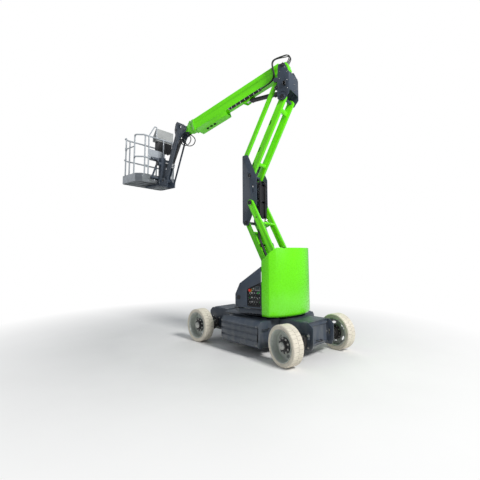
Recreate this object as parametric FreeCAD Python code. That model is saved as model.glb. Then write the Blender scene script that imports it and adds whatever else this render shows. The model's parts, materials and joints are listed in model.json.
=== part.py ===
import FreeCAD, Part
import math
import os

from FreeCAD import Placement, Rotation, Vector

# Articulating boom lift: four-wheel electric chassis, slewing superstructure, folding double riser,
# telescopic boom, levelled jib and rail basket. Millimetres, +Z up, ground at z = 0.
# The superstructure and all the arms lie along X; the chassis below is turned by SLEW_REST about the slew axis.

# Driving dimensions: chassis and wheels
WHEELBASE = 2000.0
OVERALL_WIDTH = 1500.0
SLEW_REST = 14.0
STEER_REST_LEFT = 10.5
STEER_REST_RIGHT = 7.0
TYRE_DIAMETER = 570.0
TYRE_WIDTH = 190.0
RIM_DIAMETER = 440.0
BEAD_INSET = 10.0
LUGS = 16
LUG_GROOVE = 18.0
FRAME_LENGTH = 2360.0
FRAME_WIDTH = 560.0
FRAME_BOTTOM = 165.0
FRAME_TOP = 545.0
PLATE = 16.0
SHOULDER_WIDTH = 880.0
SHOULDER_REAR = -540.0
SHOULDER_FRONT = 640.0
BATTERY_REAR = -530.0
BATTERY_FRONT = 330.0
BATTERY_BOTTOM = 155.0
KINGPIN_Y = 480.0
KINGPIN_RADIUS = 22.0
FORK_HALF = 95.0
FORK_EAR = 24.0
AXLE_DEPTH = 130.0
HUB_INSIDE = 105.0
DISC_BORE = 70.0

# Driving dimensions: superstructure
RING_RADIUS = 330.0
RING_HEIGHT = 60.0
TURRET_TOP = 690.0
TURRET_WIDTH = 1240.0
TAIL_RADIUS = 775.0
COUNTERWEIGHT_FRONT = -290.0
COUNTERWEIGHT_BOTTOM = 585.0
COUNTERWEIGHT_SHOULDER = 1450.0
COUNTERWEIGHT_TOP = 1660.0
COUNTERWEIGHT_WIDTH = 1300.0
FOOT_RADIUS = 715.0
FOOT_FILLET = 50.0
ARM_BAY = 740.0
COVER_FRONT = 190.0
COVER_LIFT = 22.0
COVER_WAIST = 220.0
COVER_SHOULDER = 376.0
COVER_CROWN = 650.0
COVER_WALL = 6.0
PANEL_REAR = -272.0
PANEL_FRONT = -30.0
HINGE_PIN = 5.0

# Driving dimensions: riser, all pivots as (x, z)
LOWER_PIN = (-500.0, 1160.0)
LOWER_ARM_LENGTH = 1450.0
LOWER_ARM_ANGLE = 64.5
LOWER_LINK_OFFSET = (120.0, -350.0)
PILLAR_RISE = (40.0, 510.0)
UPPER_ARM_LENGTH = 1490.0
UPPER_ARM_ANGLE = 116.9
TIE_OFFSET = (126.0, 345.0)
KNUCKLE_RISE = (-14.0, 583.0)
KNUCKLE_LUFF_PIN = (118.0, -392.0)
RISER_CYLINDER_BASE = (-430.0, 930.0)
LOWER_ARM_Y = 225.0
LOWER_ARM_THICK = 60.0
LOWER_ARM_DEPTH = 105.0
PILLAR_Y = 195.0
PILLAR_PLATE = 20.0
UPPER_ARM_Y = 130.0
UPPER_ARM_THICK = 56.0
UPPER_ARM_DEPTH = 120.0
TIE_DEPTH = 66.0
TIE_EAR_Y = 106.0
RECESS = 8.0
PIN_RADIUS = 26.0
TIE_PIN_RADIUS = 18.0
LUFF_PIN_RADIUS = 22.0
ROD_SHARE = 0.56

# Driving dimensions: boom, jib and basket
BOOM_ANGLE = -17.0
BOOM_AXIS_RISE = 60.0
BOOM_LENGTH = 2262.0
BOOM_DEPTH = 250.0
BOOM_WIDTH = 170.0
BOOM_WALL = 8.0
COLLAR_LENGTH = 60.0
TRAY_REAR = 1390.0
TRAY_DEPTH = 97.0
FLY_DEPTH = 205.0
FLY_WIDTH = 125.0
FLY_OVERHANG = 100.0
TELESCOPE = 1600.0
HEAD_PIN_AHEAD = 195.0
FLY_INSIDE = 2020.0
LUFF_EYE_REACH = 925.0
LUFF_EYE_DROP = 172.0
LUFF_EAR_Y = 47.0
JIB_LENGTH = 1130.0
JIB_ANGLE = -71.5
JIB_TOP = 175.0
JIB_PIN_OFFSET = (250.0, 38.0)
JIB_LINK_OFFSET = (-100.0, -115.0)
JIB_BASE_OFFSET = (-55.0, -208.0)
HEAD_PLATE_Y = 97.0
HEAD_PLATE = 13.0
HEAD_PIN_RADIUS = 18.0
JIB_PIN_RADIUS = 20.0
JIB_BASE_RADIUS = 16.0
LINK_PIN_RADIUS = 14.0
ROTATOR_REACH = 140.0
ROTATOR_RADIUS = 70.0
BASKET_REST = -8.5
BASKET_GAP = 120.0
BASKET_DEPTH = 680.0
BASKET_WIDTH = 1100.0
BASKET_FLOOR_DROP = 3.0
BASKET_HEIGHT = 1045.0
MID_RAIL = 525.0
RAIL_RADIUS = 17.0
RAIL_BEND = 36.0
POST_RADIUS = 16.0
RAIL_JOINT = 60.0
POST_SET = 40.0
BASKET_CORNER = 110.0
REAR_POSTS = (-110.0, 285.0)
TREAD = 3.0
FLOOR_RIM = 30.0
TOE_BOARD = 145.0
ENTRY_FRONT = 0.82
ENTRY_REAR = 0.30
CONSOLE_RIGHT = -404.0
CONSOLE_LEFT = 66.0
CONSOLE_DROP = 290.0
LANYARD_BORE = 26.0

# Named clearances
PIN_CLEARANCE = 0.4
SEAT = 0.3
RUNNING_GAP = 8.0


def polar(origin, length, angle):
    """Return the (x, z) point at a length and an elevation in degrees from an origin."""
    turn = math.radians(angle)
    return (origin[0] + length * math.cos(turn), origin[1] + length * math.sin(turn))


def shifted(origin, offset):
    """Return origin moved by offset, both (x, z)."""
    return (origin[0] + offset[0], origin[1] + offset[1])


def along(start, end, reach, side=0.0):
    """Return the (x, z) point reached along start to end, then sideways to the left of that way."""
    span = math.hypot(end[0] - start[0], end[1] - start[1])
    ux, uz = (end[0] - start[0]) / span, (end[1] - start[1]) / span
    return (start[0] + ux * reach - uz * side, start[1] + uz * reach + ux * side)


# Pivots worked out from the driving dimensions
LOWER_TOP = polar(LOWER_PIN, LOWER_ARM_LENGTH, LOWER_ARM_ANGLE)
LINK_PIN = shifted(LOWER_PIN, LOWER_LINK_OFFSET)
LINK_TOP = shifted(LOWER_TOP, LOWER_LINK_OFFSET)
UPPER_PIN = shifted(LOWER_TOP, PILLAR_RISE)
UPPER_TOP = polar(UPPER_PIN, UPPER_ARM_LENGTH, UPPER_ARM_ANGLE)
TIE_PIN = shifted(UPPER_PIN, TIE_OFFSET)
TIE_TOP = shifted(UPPER_TOP, TIE_OFFSET)
BOOM_PIN = shifted(UPPER_TOP, KNUCKLE_RISE)
LUFF_PIN = shifted(BOOM_PIN, KNUCKLE_LUFF_PIN)
HEAD_PIN_REACH = BOOM_LENGTH + HEAD_PIN_AHEAD
BOOM_TIP = polar(BOOM_PIN, BOOM_LENGTH, BOOM_ANGLE)
BOOM_FOOT = along(BOOM_PIN, BOOM_TIP, 0.0, BOOM_AXIS_RISE)
LUFF_EYE = along(BOOM_PIN, BOOM_TIP, LUFF_EYE_REACH, BOOM_AXIS_RISE - LUFF_EYE_DROP)
HEAD_PIN = polar(BOOM_FOOT, HEAD_PIN_REACH, BOOM_ANGLE)
JIB_PIN = shifted(HEAD_PIN, JIB_PIN_OFFSET)
JIB_LINK_PIN = shifted(JIB_PIN, JIB_LINK_OFFSET)
JIB_END = polar(JIB_PIN, JIB_LENGTH, JIB_ANGLE)
JIB_LINK_END = shifted(JIB_END, JIB_LINK_OFFSET)
RISER_EYE = along(LOWER_PIN, LOWER_TOP, LOWER_ARM_LENGTH - 420.0, -60.0)
JIB_CYLINDER_BASE = shifted(JIB_PIN, JIB_BASE_OFFSET)
JIB_EYE = along(JIB_PIN, JIB_END, 800.0, -50.0)
ROTATOR_X = JIB_END[0] + ROTATOR_REACH
BASKET_REAR = ROTATOR_X + BASKET_GAP
FLOOR_TOP = JIB_END[1] - BASKET_FLOOR_DROP
RAIL_INSET = RAIL_RADIUS + 3.0 + SEAT
LINK_Y1 = HEAD_PLATE_Y + HEAD_PLATE + 12.0
AXLE_X = WHEELBASE / 2
WHEEL_Z = TYRE_DIAMETER / 2
WHEEL_Y = (OVERALL_WIDTH - TYRE_WIDTH) / 2
RING_TOP = FRAME_TOP + 15.0 + RING_HEIGHT
COVER_BOTTOM = TURRET_TOP + COVER_LIFT


def box(x0, x1, y0, y1, z0, z1):
    """Return a box between two corners."""
    return Part.makeBox(x1 - x0, y1 - y0, z1 - z0, Vector(x0, y0, z0))


def bent_path(points, radius):
    """Return the edges of straight runs whose corners are rounded by tangent arcs of one radius."""
    closed = points[0].isEqual(points[-1], 1e-6)
    ring = points[:-1] if closed else points
    count = len(ring)
    starts, ends = [], []
    for i, corner in enumerate(ring):
        if radius <= 0 or (not closed and i in (0, count - 1)):
            starts.append(corner)
            ends.append(corner)
            continue
        back = (ring[i - 1] - corner).normalize()
        ahead = (ring[(i + 1) % count] - corner).normalize()
        half = back.getAngle(ahead) / 2
        room = radius / math.tan(half)
        starts.append(corner + back * room)
        ends.append(corner + ahead * room)
    edges = []
    for i in range(count):
        if starts[i].distanceToPoint(ends[i]) > 1e-6:
            back = (starts[i] - ring[i]).normalize()
            ahead = (ends[i] - ring[i]).normalize()
            half = back.getAngle(ahead) / 2
            middle = ring[i] + (back + ahead).normalize() * (radius / math.sin(half) - radius)
            edges.append(Part.Arc(starts[i], middle, ends[i]).toShape())
        if i < count - 1 or closed:
            after = starts[(i + 1) % count]
            if ends[i].distanceToPoint(after) > 1e-6:
                edges.append(Part.LineSegment(ends[i], after).toShape())
    return edges


def outline_face(points, radius):
    """Return the plane face inside a closed outline of 3-D points with rounded corners."""
    return Part.Face(Part.Wire(bent_path(points + [points[0]], radius)))


def side_plate(outline, y0, y1, radius=0.0):
    """Return a plate cut to an (x, z) outline and as thick as y0 to y1."""
    face = outline_face([Vector(x, y0, z) for x, z in outline], radius)
    return face.extrude(Vector(0, y1 - y0, 0))


def flat_plate(outline, z0, z1, radius=0.0):
    """Return a plate cut to an (x, y) outline and as thick as z0 to z1."""
    face = outline_face([Vector(x, y, z0) for x, y in outline], radius)
    return face.extrude(Vector(0, 0, z1 - z0))


def cross_bar(profile, x0, x1, radius=0.0):
    """Return a bar of (y, z) section that runs from x0 to x1."""
    face = outline_face([Vector(x0, y, z) for y, z in profile], radius)
    return face.extrude(Vector(x1 - x0, 0, 0))


def rod_y(pivot, radius, y0, y1):
    """Return a round bar along Y through an (x, z) pivot."""
    return Part.makeCylinder(radius, y1 - y0, Vector(pivot[0], y0, pivot[1]), Vector(0, 1, 0))


def rod_between(start, end, radius, y=0.0):
    """Return a round bar between two (x, z) points in the plane of y."""
    a, b = Vector(start[0], y, start[1]), Vector(end[0], y, end[1])
    return Part.makeCylinder(radius, a.distanceToPoint(b), a, b - a)


def bar_between(start, end, depth, y0, y1, head=0.0, tail=0.0):
    """Return a flat bar of one depth between two (x, z) points, with round ends that reach past them."""
    span = math.hypot(end[0] - start[0], end[1] - start[1])
    low_left = along(start, end, -tail, depth / 2)
    low_right = along(start, end, -tail, -depth / 2)
    top_right = along(start, end, span + head, -depth / 2)
    top_left = along(start, end, span + head, depth / 2)
    return side_plate([low_left, low_right, top_right, top_left], y0, y1)


def link_bar(start, end, depth, y0, y1):
    """Return a flat bar with full round ends about its two (x, z) pivots."""
    body = bar_between(start, end, depth, y0, y1)
    return body.fuse([rod_y(start, depth / 2, y0, y1), rod_y(end, depth / 2, y0, y1)])


def mirrored(shape):
    """Return the shape with its mirror image across the plane y = 0."""
    return shape.fuse(shape.mirror(Vector(0, 0, 0), Vector(0, 1, 0)))


def other_side(shape):
    """Return only the mirror image across the plane y = 0."""
    return shape.mirror(Vector(0, 0, 0), Vector(0, 1, 0))


def tube_along(points, tube_radius, bend_radius):
    """Return a round tube that follows bent runs."""
    edges = bent_path(points, bend_radius)
    path = Part.Wire(edges)
    heading = (points[1] - points[0]).normalize()
    ring = Part.Wire(Part.makeCircle(tube_radius, points[0], heading))
    return path.makePipeShell([ring], True, False)


def joined(shapes):
    """Return one shape of many that touch, with its inner seams removed."""
    first, rest = shapes[0], shapes[1:]
    return (first.fuse(rest) if rest else first).removeSplitter()


def bored(shape, pivots, y0, y1, radius=PIN_RADIUS + PIN_CLEARANCE):
    """Return the shape with a running bore along Y at each (x, z) pivot."""
    for pivot in pivots:
        shape = shape.cut(rod_y(pivot, radius, y0, y1))
    return shape


# Chassis, built along X and turned afterwards

def on_chassis(shape):
    """Return a chassis piece turned about the slew axis to where it stands under the superstructure."""
    return shape.rotated(Vector(0, 0, 0), Vector(0, 0, 1), -SLEW_REST)


def chassis_frame():
    """Two long side plates, a wide middle, deck, floor and end panels, with lashing slots at the four corners."""
    half, wide = FRAME_LENGTH / 2, FRAME_WIDTH / 2
    nose = [(-half, FRAME_BOTTOM + 90), (-half + 40, FRAME_BOTTOM), (half - 40, FRAME_BOTTOM),
            (half, FRAME_BOTTOM + 90), (half, FRAME_TOP - 60), (half - 70, FRAME_TOP),
            (-half + 70, FRAME_TOP), (-half, FRAME_TOP - 60)]
    plate = side_plate(nose, wide - PLATE, wide, 30.0)
    for x in (-half + 75, half - 75):
        slot = flat_plate([(-16, -42), (16, -42), (16, 42), (-16, 42)], -20, 20, 15.9)
        slot = slot.rotated(Vector(0, 0, 0), Vector(1, 0, 0), 90)
        plate = plate.cut(slot.translated(Vector(x, wide - PLATE / 2, (FRAME_BOTTOM + FRAME_TOP) / 2)))
    sides = mirrored(plate)
    inner = half - 110
    web = box(-inner, inner, -wide + PLATE, wide - PLATE, FRAME_BOTTOM + 25, FRAME_TOP)
    hollow = box(-inner + PLATE, SHOULDER_REAR + 60, -wide + PLATE, wide - PLATE, FRAME_BOTTOM + 25 + PLATE,
                 FRAME_TOP - PLATE)
    web = web.cut([hollow, box(SHOULDER_FRONT - 60, inner - PLATE, -wide + PLATE, wide - PLATE,
                               FRAME_BOTTOM + 25 + PLATE, FRAME_TOP - PLATE)])
    shoulder = [(SHOULDER_REAR, -wide), (SHOULDER_REAR, wide), (SHOULDER_REAR + 60, SHOULDER_WIDTH / 2),
                (SHOULDER_FRONT - 60, SHOULDER_WIDTH / 2), (SHOULDER_FRONT, wide), (SHOULDER_FRONT, -wide),
                (SHOULDER_FRONT - 60, -SHOULDER_WIDTH / 2), (SHOULDER_REAR + 60, -SHOULDER_WIDTH / 2)]
    middle = flat_plate(shoulder, FRAME_BOTTOM + 10, FRAME_TOP)
    seat = Part.makeCylinder(RING_RADIUS + 35, 15, Vector(0, 0, FRAME_TOP))
    frame = joined([sides, web, middle, seat])
    for sign in (-1, 1):
        frame = frame.cut(axle_beam_block(sign * AXLE_X, SEAT))
    return on_chassis(frame)


def axle_beam_block(x, grow):
    """Return the square bar of an axle beam at one end, grown by a clearance all round."""
    half = AXLE_DEPTH / 2 + grow
    reach = FRAME_WIDTH / 2 + 70
    return box(x - half, x + half, -reach, reach, WHEEL_Z - half, WHEEL_Z + half)


def battery_box(side):
    """Battery box with pressed horizontal ribs; side is +1 for left and -1 for right."""
    inner, outer = SHOULDER_WIDTH / 2 + SEAT, OVERALL_WIDTH / 2 - 4
    top, rib, skirt = FRAME_TOP - 5, 10.0, 40.0
    rows = 3
    step = (top - 70 - BATTERY_BOTTOM - skirt) / rows
    section = [(inner, BATTERY_BOTTOM), (outer - 45, BATTERY_BOTTOM), (outer, BATTERY_BOTTOM + skirt)]
    for row in range(rows):
        level = BATTERY_BOTTOM + skirt + row * step
        section += [(outer, level + step - 34), (outer - rib, level + step - 26), (outer - rib, level + step - 8),
                    (outer, level + step)]
    section += [(outer - 70, top), (inner, top)]
    shell = cross_bar(section, BATTERY_REAR, BATTERY_FRONT)
    for x, inward in ((BATTERY_REAR, 1), (BATTERY_FRONT, -1)):
        wedge = flat_plate([(x, outer - 55), (x, outer + 5), (x + inward * 40, outer + 5),
                            (x + inward * 12, outer - 12)], BATTERY_BOTTOM - 5, top + 5)
        shell = shell.cut(wedge)
    return on_chassis(shell if side > 0 else other_side(shell))


def steer_axle():
    """Steering axle beam with a fork about each kingpin."""
    x = -AXLE_X
    arm = box(x - 60, x + 60, 320, 350, WHEEL_Z - FORK_HALF, WHEEL_Z + FORK_HALF)
    ears = []
    for z in (WHEEL_Z - FORK_HALF, WHEEL_Z + FORK_HALF - FORK_EAR):
        ear = flat_plate([(x - 60, 300), (x + 60, 300), (x + 50, KINGPIN_Y), (x + 25, KINGPIN_Y + 45),
                          (x - 25, KINGPIN_Y + 45), (x - 50, KINGPIN_Y)], z, z + FORK_EAR, 8.0)
        ears.append(ear)
    axle = joined([axle_beam_block(x, 0), mirrored(joined([arm] + ears))])
    for y in (-KINGPIN_Y, KINGPIN_Y):
        axle = axle.cut(Part.makeCylinder(KINGPIN_RADIUS + PIN_CLEARANCE, 2 * FORK_HALF + 10,
                                          Vector(x, y, WHEEL_Z - FORK_HALF - 5)))
    return on_chassis(axle)


def drive_axle():
    """Drive axle beam with a flange and a round gear housing at each end."""
    x = AXLE_X
    beam = axle_beam_block(x, 0)
    housing = Part.makeCylinder(95, 130, Vector(x, 340, WHEEL_Z), Vector(0, 1, 0))
    flange = Part.makeCylinder(120, 20, Vector(x, 350, WHEEL_Z), Vector(0, 1, 0))
    collar = Part.makeCylinder(70, WHEEL_Y - HUB_INSIDE - SEAT - 460, Vector(x, 460, WHEEL_Z), Vector(0, 1, 0))
    return on_chassis(joined([beam, mirrored(joined([housing, flange, collar]))]))


def steered(shape, side):
    """Return a steered-wheel piece turned about its kingpin to the parked steering angle."""
    pivot = Vector(-AXLE_X, side * KINGPIN_Y, 0)
    angle = STEER_REST_LEFT if side > 0 else STEER_REST_RIGHT
    return on_chassis(shape.rotated(pivot, Vector(0, 0, 1), -angle))


def knuckle(side):
    """Steering knuckle: kingpin and its barrel, stub axle and the steering lever with its eye."""
    x = -AXLE_X
    half = FORK_HALF - FORK_EAR - SEAT
    barrel = Part.makeCylinder(42, 2 * half, Vector(x, KINGPIN_Y, WHEEL_Z - half))
    pin = Part.makeCylinder(KINGPIN_RADIUS, 2 * FORK_HALF, Vector(x, KINGPIN_Y, WHEEL_Z - FORK_HALF))
    stub = Part.makeCylinder(48, WHEEL_Y - HUB_INSIDE - SEAT - KINGPIN_Y, Vector(x, KINGPIN_Y, WHEEL_Z),
                             Vector(0, 1, 0))
    lever = box(x + 30, x + 175, KINGPIN_Y - 28, KINGPIN_Y + 6, WHEEL_Z - 40, WHEEL_Z - 20)
    eye = Part.makeCylinder(22, 20, Vector(x + 175, KINGPIN_Y - 11, WHEEL_Z - 40))
    piece = joined([barrel, pin, stub, lever, eye])
    return steered(piece if side > 0 else other_side(piece), side)


WHEELS = (
    # name, end, side, steered
    ("rear_left", -1, 1, True),
    ("rear_right", -1, -1, True),
    ("front_left", 1, 1, False),
    ("front_right", 1, -1, False),
)


def place_wheel(shape, end, side, is_steered):
    """Move a wheel piece, built about the origin with its outside towards +Y, to its corner."""
    if side < 0:
        shape = shape.rotated(Vector(0, 0, 0), Vector(0, 0, 1), 180)
    shape = shape.translated(Vector(end * AXLE_X, side * WHEEL_Y, WHEEL_Z))
    return steered(shape, side) if is_steered else on_chassis(shape)


def wheel_profile(points):
    """Return the ring swept round the Y axis by a closed (radius, y) profile."""
    face = outline_face([Vector(r, y, 0) for r, y in points], 0.0)
    return face.revolve(Vector(0, 0, 0), Vector(0, 1, 0), 360)


def tyre():
    """Solid tyre with a flat crown, sloped shoulders and lug notches across each shoulder."""
    outer, seat, half = TYRE_DIAMETER / 2, RIM_DIAMETER / 2, TYRE_WIDTH / 2
    ring = wheel_profile([(seat, -half + BEAD_INSET), (outer - 30, -half), (outer, -half + 24),
                          (outer, half - 24), (outer - 30, half), (seat, half - BEAD_INSET)])
    notches = []
    for i in range(LUGS):
        for face, lag in ((1, 0.0), (-1, 0.5)):
            notch = box(-LUG_GROOVE / 2, LUG_GROOVE / 2, half - 52, half + 5, outer - 10, outer + 10)
            if face < 0:
                notch = other_side(notch)
            notches.append(notch.rotated(Vector(0, 0, 0), Vector(0, 1, 0), 360 * (i + lag) / LUGS))
    return ring.cut(notches)


def rim():
    """Deep rim: bead seats, conical barrel and a dished disc with kidney openings between spokes."""
    seat, half = RIM_DIAMETER / 2, TYRE_WIDTH / 2
    barrel = wheel_profile([(seat - SEAT, -half + 14), (seat - SEAT, half - 8), (seat - 10, half - 2),
                            (seat - 18, half - 60), (seat - 18, -half + 14)])
    disc = wheel_profile([(DISC_BORE, -8), (seat - 40, -32), (seat - 17, -32), (seat - 17, -18), (seat - 42, -18),
                          (DISC_BORE, 6)])
    openings = []
    for i in range(5):
        hole = flat_plate([(-62, 128), (62, 128), (40, seat - 42), (-40, seat - 42)], -60, 60)
        hole = hole.rotated(Vector(0, 0, 0), Vector(1, 0, 0), 90)
        openings.append(hole.rotated(Vector(0, 0, 0), Vector(0, 1, 0), 72 * i))
    return joined([barrel, disc.cut(openings)])


def hub():
    """Planetary hub: inner flange, drum through the disc and a stepped outer cap."""
    bore = DISC_BORE - SEAT
    return wheel_profile([(0, -HUB_INSIDE), (72, -HUB_INSIDE), (72, -90), (124, -84), (124, -66), (bore, -60),
                          (bore, 6 + SEAT), (112, 14), (112, 30), (72, 50), (62, 84), (0, 84)])


# Superstructure

def slew_ring():
    """Outer ring of the slewing bearing, bolted on the chassis."""
    ring = Part.makeCylinder(RING_RADIUS, RING_HEIGHT, Vector(0, 0, FRAME_TOP + 15))
    return on_chassis(ring.cut(Part.makeCylinder(RING_RADIUS - 90, RING_HEIGHT, Vector(0, 0, FRAME_TOP + 15))))


def cheek_outline():
    """Return the (x, z) outline of a pivot cheek, high at the rear pin and low at the front."""
    foot = TURRET_TOP - 40
    rear = LOWER_PIN[0] - 140
    return [(rear, foot), (rear, LOWER_PIN[1] - 80), (LOWER_PIN[0] - 80, LOWER_PIN[1] + 70),
            (LOWER_PIN[0] + 70, LOWER_PIN[1] + 75), (LINK_PIN[0] + 90, LINK_PIN[1] + 90), (60, TURRET_TOP + 150),
            (330, TURRET_TOP + 110), (360, foot)]


def turret_frame():
    """Turntable plate with two pivot cheeks, their three cross pins and the front cross plate."""
    half = TURRET_WIDTH / 2
    bottom = RING_TOP + SEAT
    rear = -FOOT_RADIUS
    plate = flat_plate([(rear + 45, -200), (rear + 45, 200), (rear + 215, 450), (-300, half - 20), (160, half - 20),
                        (430, 330), (430, -330), (160, -half + 20), (-300, -half + 20), (rear + 215, -450)],
                       bottom, TURRET_TOP, 30.0)
    inner = ARM_BAY / 2 - 60
    cheek = side_plate(cheek_outline(), inner, inner + 24, 30.0)
    pins = [rod_y(p, PIN_RADIUS, -inner, inner) for p in (LOWER_PIN, LINK_PIN, RISER_CYLINDER_BASE)]
    front = box(320, 344, -inner, inner, TURRET_TOP, TURRET_TOP + 100)
    motor = Part.makeCylinder(70, 150, Vector(256, 0, TURRET_TOP))
    return joined([plate, mirrored(cheek), front, motor] + pins)


def counterweight():
    """Cast counterweight: cheeks and tail to the tail swing circle, slanted front corner, arm bay in the middle."""
    half, front = COUNTERWEIGHT_WIDTH / 2, COUNTERWEIGHT_FRONT
    low, high = COUNTERWEIGHT_BOTTOM, COUNTERWEIGHT_TOP
    corner = -math.sqrt(TAIL_RADIUS ** 2 - half ** 2)
    arc = [Vector(corner, half, low), Vector(-TAIL_RADIUS, 0, low), Vector(corner, -half, low)]
    front_left, front_right = Vector(front, half, low), Vector(front, -half, low)
    edges = [Part.LineSegment(front_left, arc[0]).toShape(), Part.Arc(*arc).toShape(),
             Part.LineSegment(arc[2], front_right).toShape(), Part.LineSegment(front_right, front_left).toShape()]
    block = Part.Face(Part.Wire(edges)).extrude(Vector(0, 0, high - low))
    tail = -TAIL_RADIUS - 100
    side = side_plate([(front, low), (front, COUNTERWEIGHT_SHOULDER), (-520, high), (tail, high), (tail, low)],
                      -half, half)
    block = block.common(side)
    rounded = [e for e in block.Edges if e.BoundBox.ZMax < low + 1 and e.BoundBox.XMin < front - 1]
    block = block.makeFillet(FOOT_FILLET, rounded)
    bay = box(-650, 200, -ARM_BAY / 2, ARM_BAY / 2, low - 10, high + 20)
    reach = TURRET_WIDTH / 2 - 10
    table = Part.makeCylinder(FOOT_RADIUS, TURRET_TOP + SEAT - low + 10, Vector(0, 0, low - 10))
    table = table.common(box(-FOOT_RADIUS, 200, -reach, reach, low - 10, TURRET_TOP + SEAT))
    return block.cut([bay, table])


def cover_outline(wall=0.0):
    """Return the (x, z) outline of a side cover, or of the hollow inside its walls, which is open at rear and foot."""
    rear = COUNTERWEIGHT_FRONT + RUNNING_GAP
    waist, shoulder, crown = COVER_BOTTOM + COVER_WAIST, COVER_BOTTOM + COVER_SHOULDER, COVER_BOTTOM + COVER_CROWN
    slope = (crown - shoulder) / (rear - COVER_FRONT + 75)
    if wall > 0:
        return [(rear - 50, COVER_BOTTOM - 20), (COVER_FRONT - wall, COVER_BOTTOM - 20),
                (COVER_FRONT - wall, waist - 4), (COVER_FRONT - 79, shoulder - 8), (rear, crown - 8),
                (rear - 50, crown - 8 - 50 * slope)]
    return [(rear, COVER_BOTTOM), (COVER_FRONT, COVER_BOTTOM), (COVER_FRONT, waist), (COVER_FRONT - 75, shoulder),
            (rear, crown)]


def cover(side):
    """Hinged side cover: outer wall, front wall and sloped roof, trimmed to its swing, with a hole for the panel."""
    outer, inner, wall = COUNTERWEIGHT_WIDTH / 2, ARM_BAY / 2 + 35, COVER_WALL
    hinge_x, hinge_y = COVER_FRONT + 12, outer - 26
    block = side_plate(cover_outline(), inner, outer)
    shell = block.cut(side_plate(cover_outline(wall), inner - 10, outer - wall))
    swing = COVER_FRONT + 12 - COUNTERWEIGHT_FRONT - 6
    shell = shell.common(Part.makeCylinder(swing, 900, Vector(hinge_x, hinge_y, COVER_BOTTOM - 50)))
    if side > 0:
        shell = shell.cut(side_plate(panel_outline(4.0), outer - 30, outer + 10, 24.0))
    sleeve = Part.makeCylinder(11, 160, Vector(hinge_x, hinge_y, COVER_BOTTOM + 40))
    leaf = box(COVER_FRONT - wall, hinge_x, outer - 30, outer - 22, COVER_BOTTOM + 50, COVER_BOTTOM + 190)
    bore = Part.makeCylinder(HINGE_PIN + PIN_CLEARANCE, 320, Vector(hinge_x, hinge_y, COVER_BOTTOM - 10))
    shell = joined([shell, sleeve, leaf]).cut(bore)
    return shell if side > 0 else other_side(shell)


def panel_outline(grow=0.0):
    """Return the (x, z) outline of the ground control panel."""
    rear, front, low = PANEL_REAR - grow, PANEL_FRONT + grow, TURRET_TOP + 45 - grow
    return [(rear, low), (front, low), (front, TURRET_TOP + 310 + grow), (rear, TURRET_TOP + 420 + grow)]


def control_panel():
    """Ground control panel: a box on the turret with its raised frame, switches, display and stop button."""
    outer = COUNTERWEIGHT_WIDTH / 2 - 12
    body = side_plate(panel_outline(), outer - 110, outer - 14, 22.0)
    lip = side_plate(panel_outline(), outer - 16, outer, 22.0).cut(
        side_plate(panel_outline(-16.0), outer - 20, outer + 5, 14.0))
    display = box(PANEL_REAR + 22, PANEL_REAR + 112, outer - 16, outer - 8, TURRET_TOP + 290, TURRET_TOP + 360)
    stop = rod_y((PANEL_FRONT - 40, TURRET_TOP + 295), 20, outer - 16, outer + 8)
    switches = [rod_y((PANEL_REAR + reach, TURRET_TOP + 160), 8, outer - 16, outer - 2)
                for reach in (37, 82, 127, 172, 212)]
    foot = box(PANEL_REAR, PANEL_FRONT - 30, ARM_BAY / 2 - 36, outer - 30, TURRET_TOP, TURRET_TOP + 52)
    return joined([body, lip, display, stop, foot] + switches)


def hinge_post(side):
    """Post on the turntable that carries a cover's hinge pin."""
    outer = COUNTERWEIGHT_WIDTH / 2
    pin = Part.makeCylinder(HINGE_PIN, 240, Vector(COVER_FRONT + 12, outer - 26, TURRET_TOP + 4))
    arm = box(COVER_FRONT - 30, COVER_FRONT + 24, TURRET_WIDTH / 2 - 80, outer - 14, TURRET_TOP, TURRET_TOP + 14)
    post = joined([pin, arm])
    return post if side > 0 else other_side(post)


# Riser

def lower_arms():
    """Pair of lower arms with round ends, joined by two cross tubes and the riser cylinder's ears."""
    y0, y1 = LOWER_ARM_Y, LOWER_ARM_Y + LOWER_ARM_THICK
    bar = link_bar(LOWER_PIN, LOWER_TOP, LOWER_ARM_DEPTH, y0, y1)
    bar = bar.cut([rod_y(along(LOWER_PIN, LOWER_TOP, reach), 14, y1 - 8, y1 + 5) for reach in (380.0, 1150.0)])
    high = along(LOWER_PIN, LOWER_TOP, LOWER_ARM_LENGTH - 420.0, 26.0)
    low_tube = rod_y(along(LOWER_PIN, LOWER_TOP, 330.0), 32, -y0, y0)
    high_tube = rod_y(high, 24, -y0, y0)
    ear = link_bar(RISER_EYE, high, 70, 48, 62)
    arms = joined([mirrored(bar), low_tube, high_tube, mirrored(ear)])
    return bored(arms, [LOWER_PIN, LOWER_TOP], -y1 - 5, y1 + 5)


def lower_link():
    """Levelling link below the lower arms: a channel with a notched front web and forked ends."""
    y1, y0 = PILLAR_Y - 15, PILLAR_Y - 37
    flange = link_bar(LINK_PIN, LINK_TOP, 84, y0, y1)
    start, end = along(LINK_PIN, LINK_TOP, 230), along(LINK_PIN, LINK_TOP, LOWER_ARM_LENGTH - 150)
    length = LOWER_ARM_LENGTH - 380
    web = side_plate([along(start, end, 0, -42), along(start, end, length, -42), along(start, end, length, -30),
                      along(start, end, 0, -30)], -y1, y1)
    notches = []
    for i in range(9):
        spot = along(start, end, 70 + 115 * i, -36)
        notches.append(rod_y(spot, 20, y1 - 26, y1 + 5))
    web = web.cut(notches)
    link = joined([mirrored(flange), web])
    return bored(link, [LINK_PIN, LINK_TOP], -400, 400)


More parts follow.
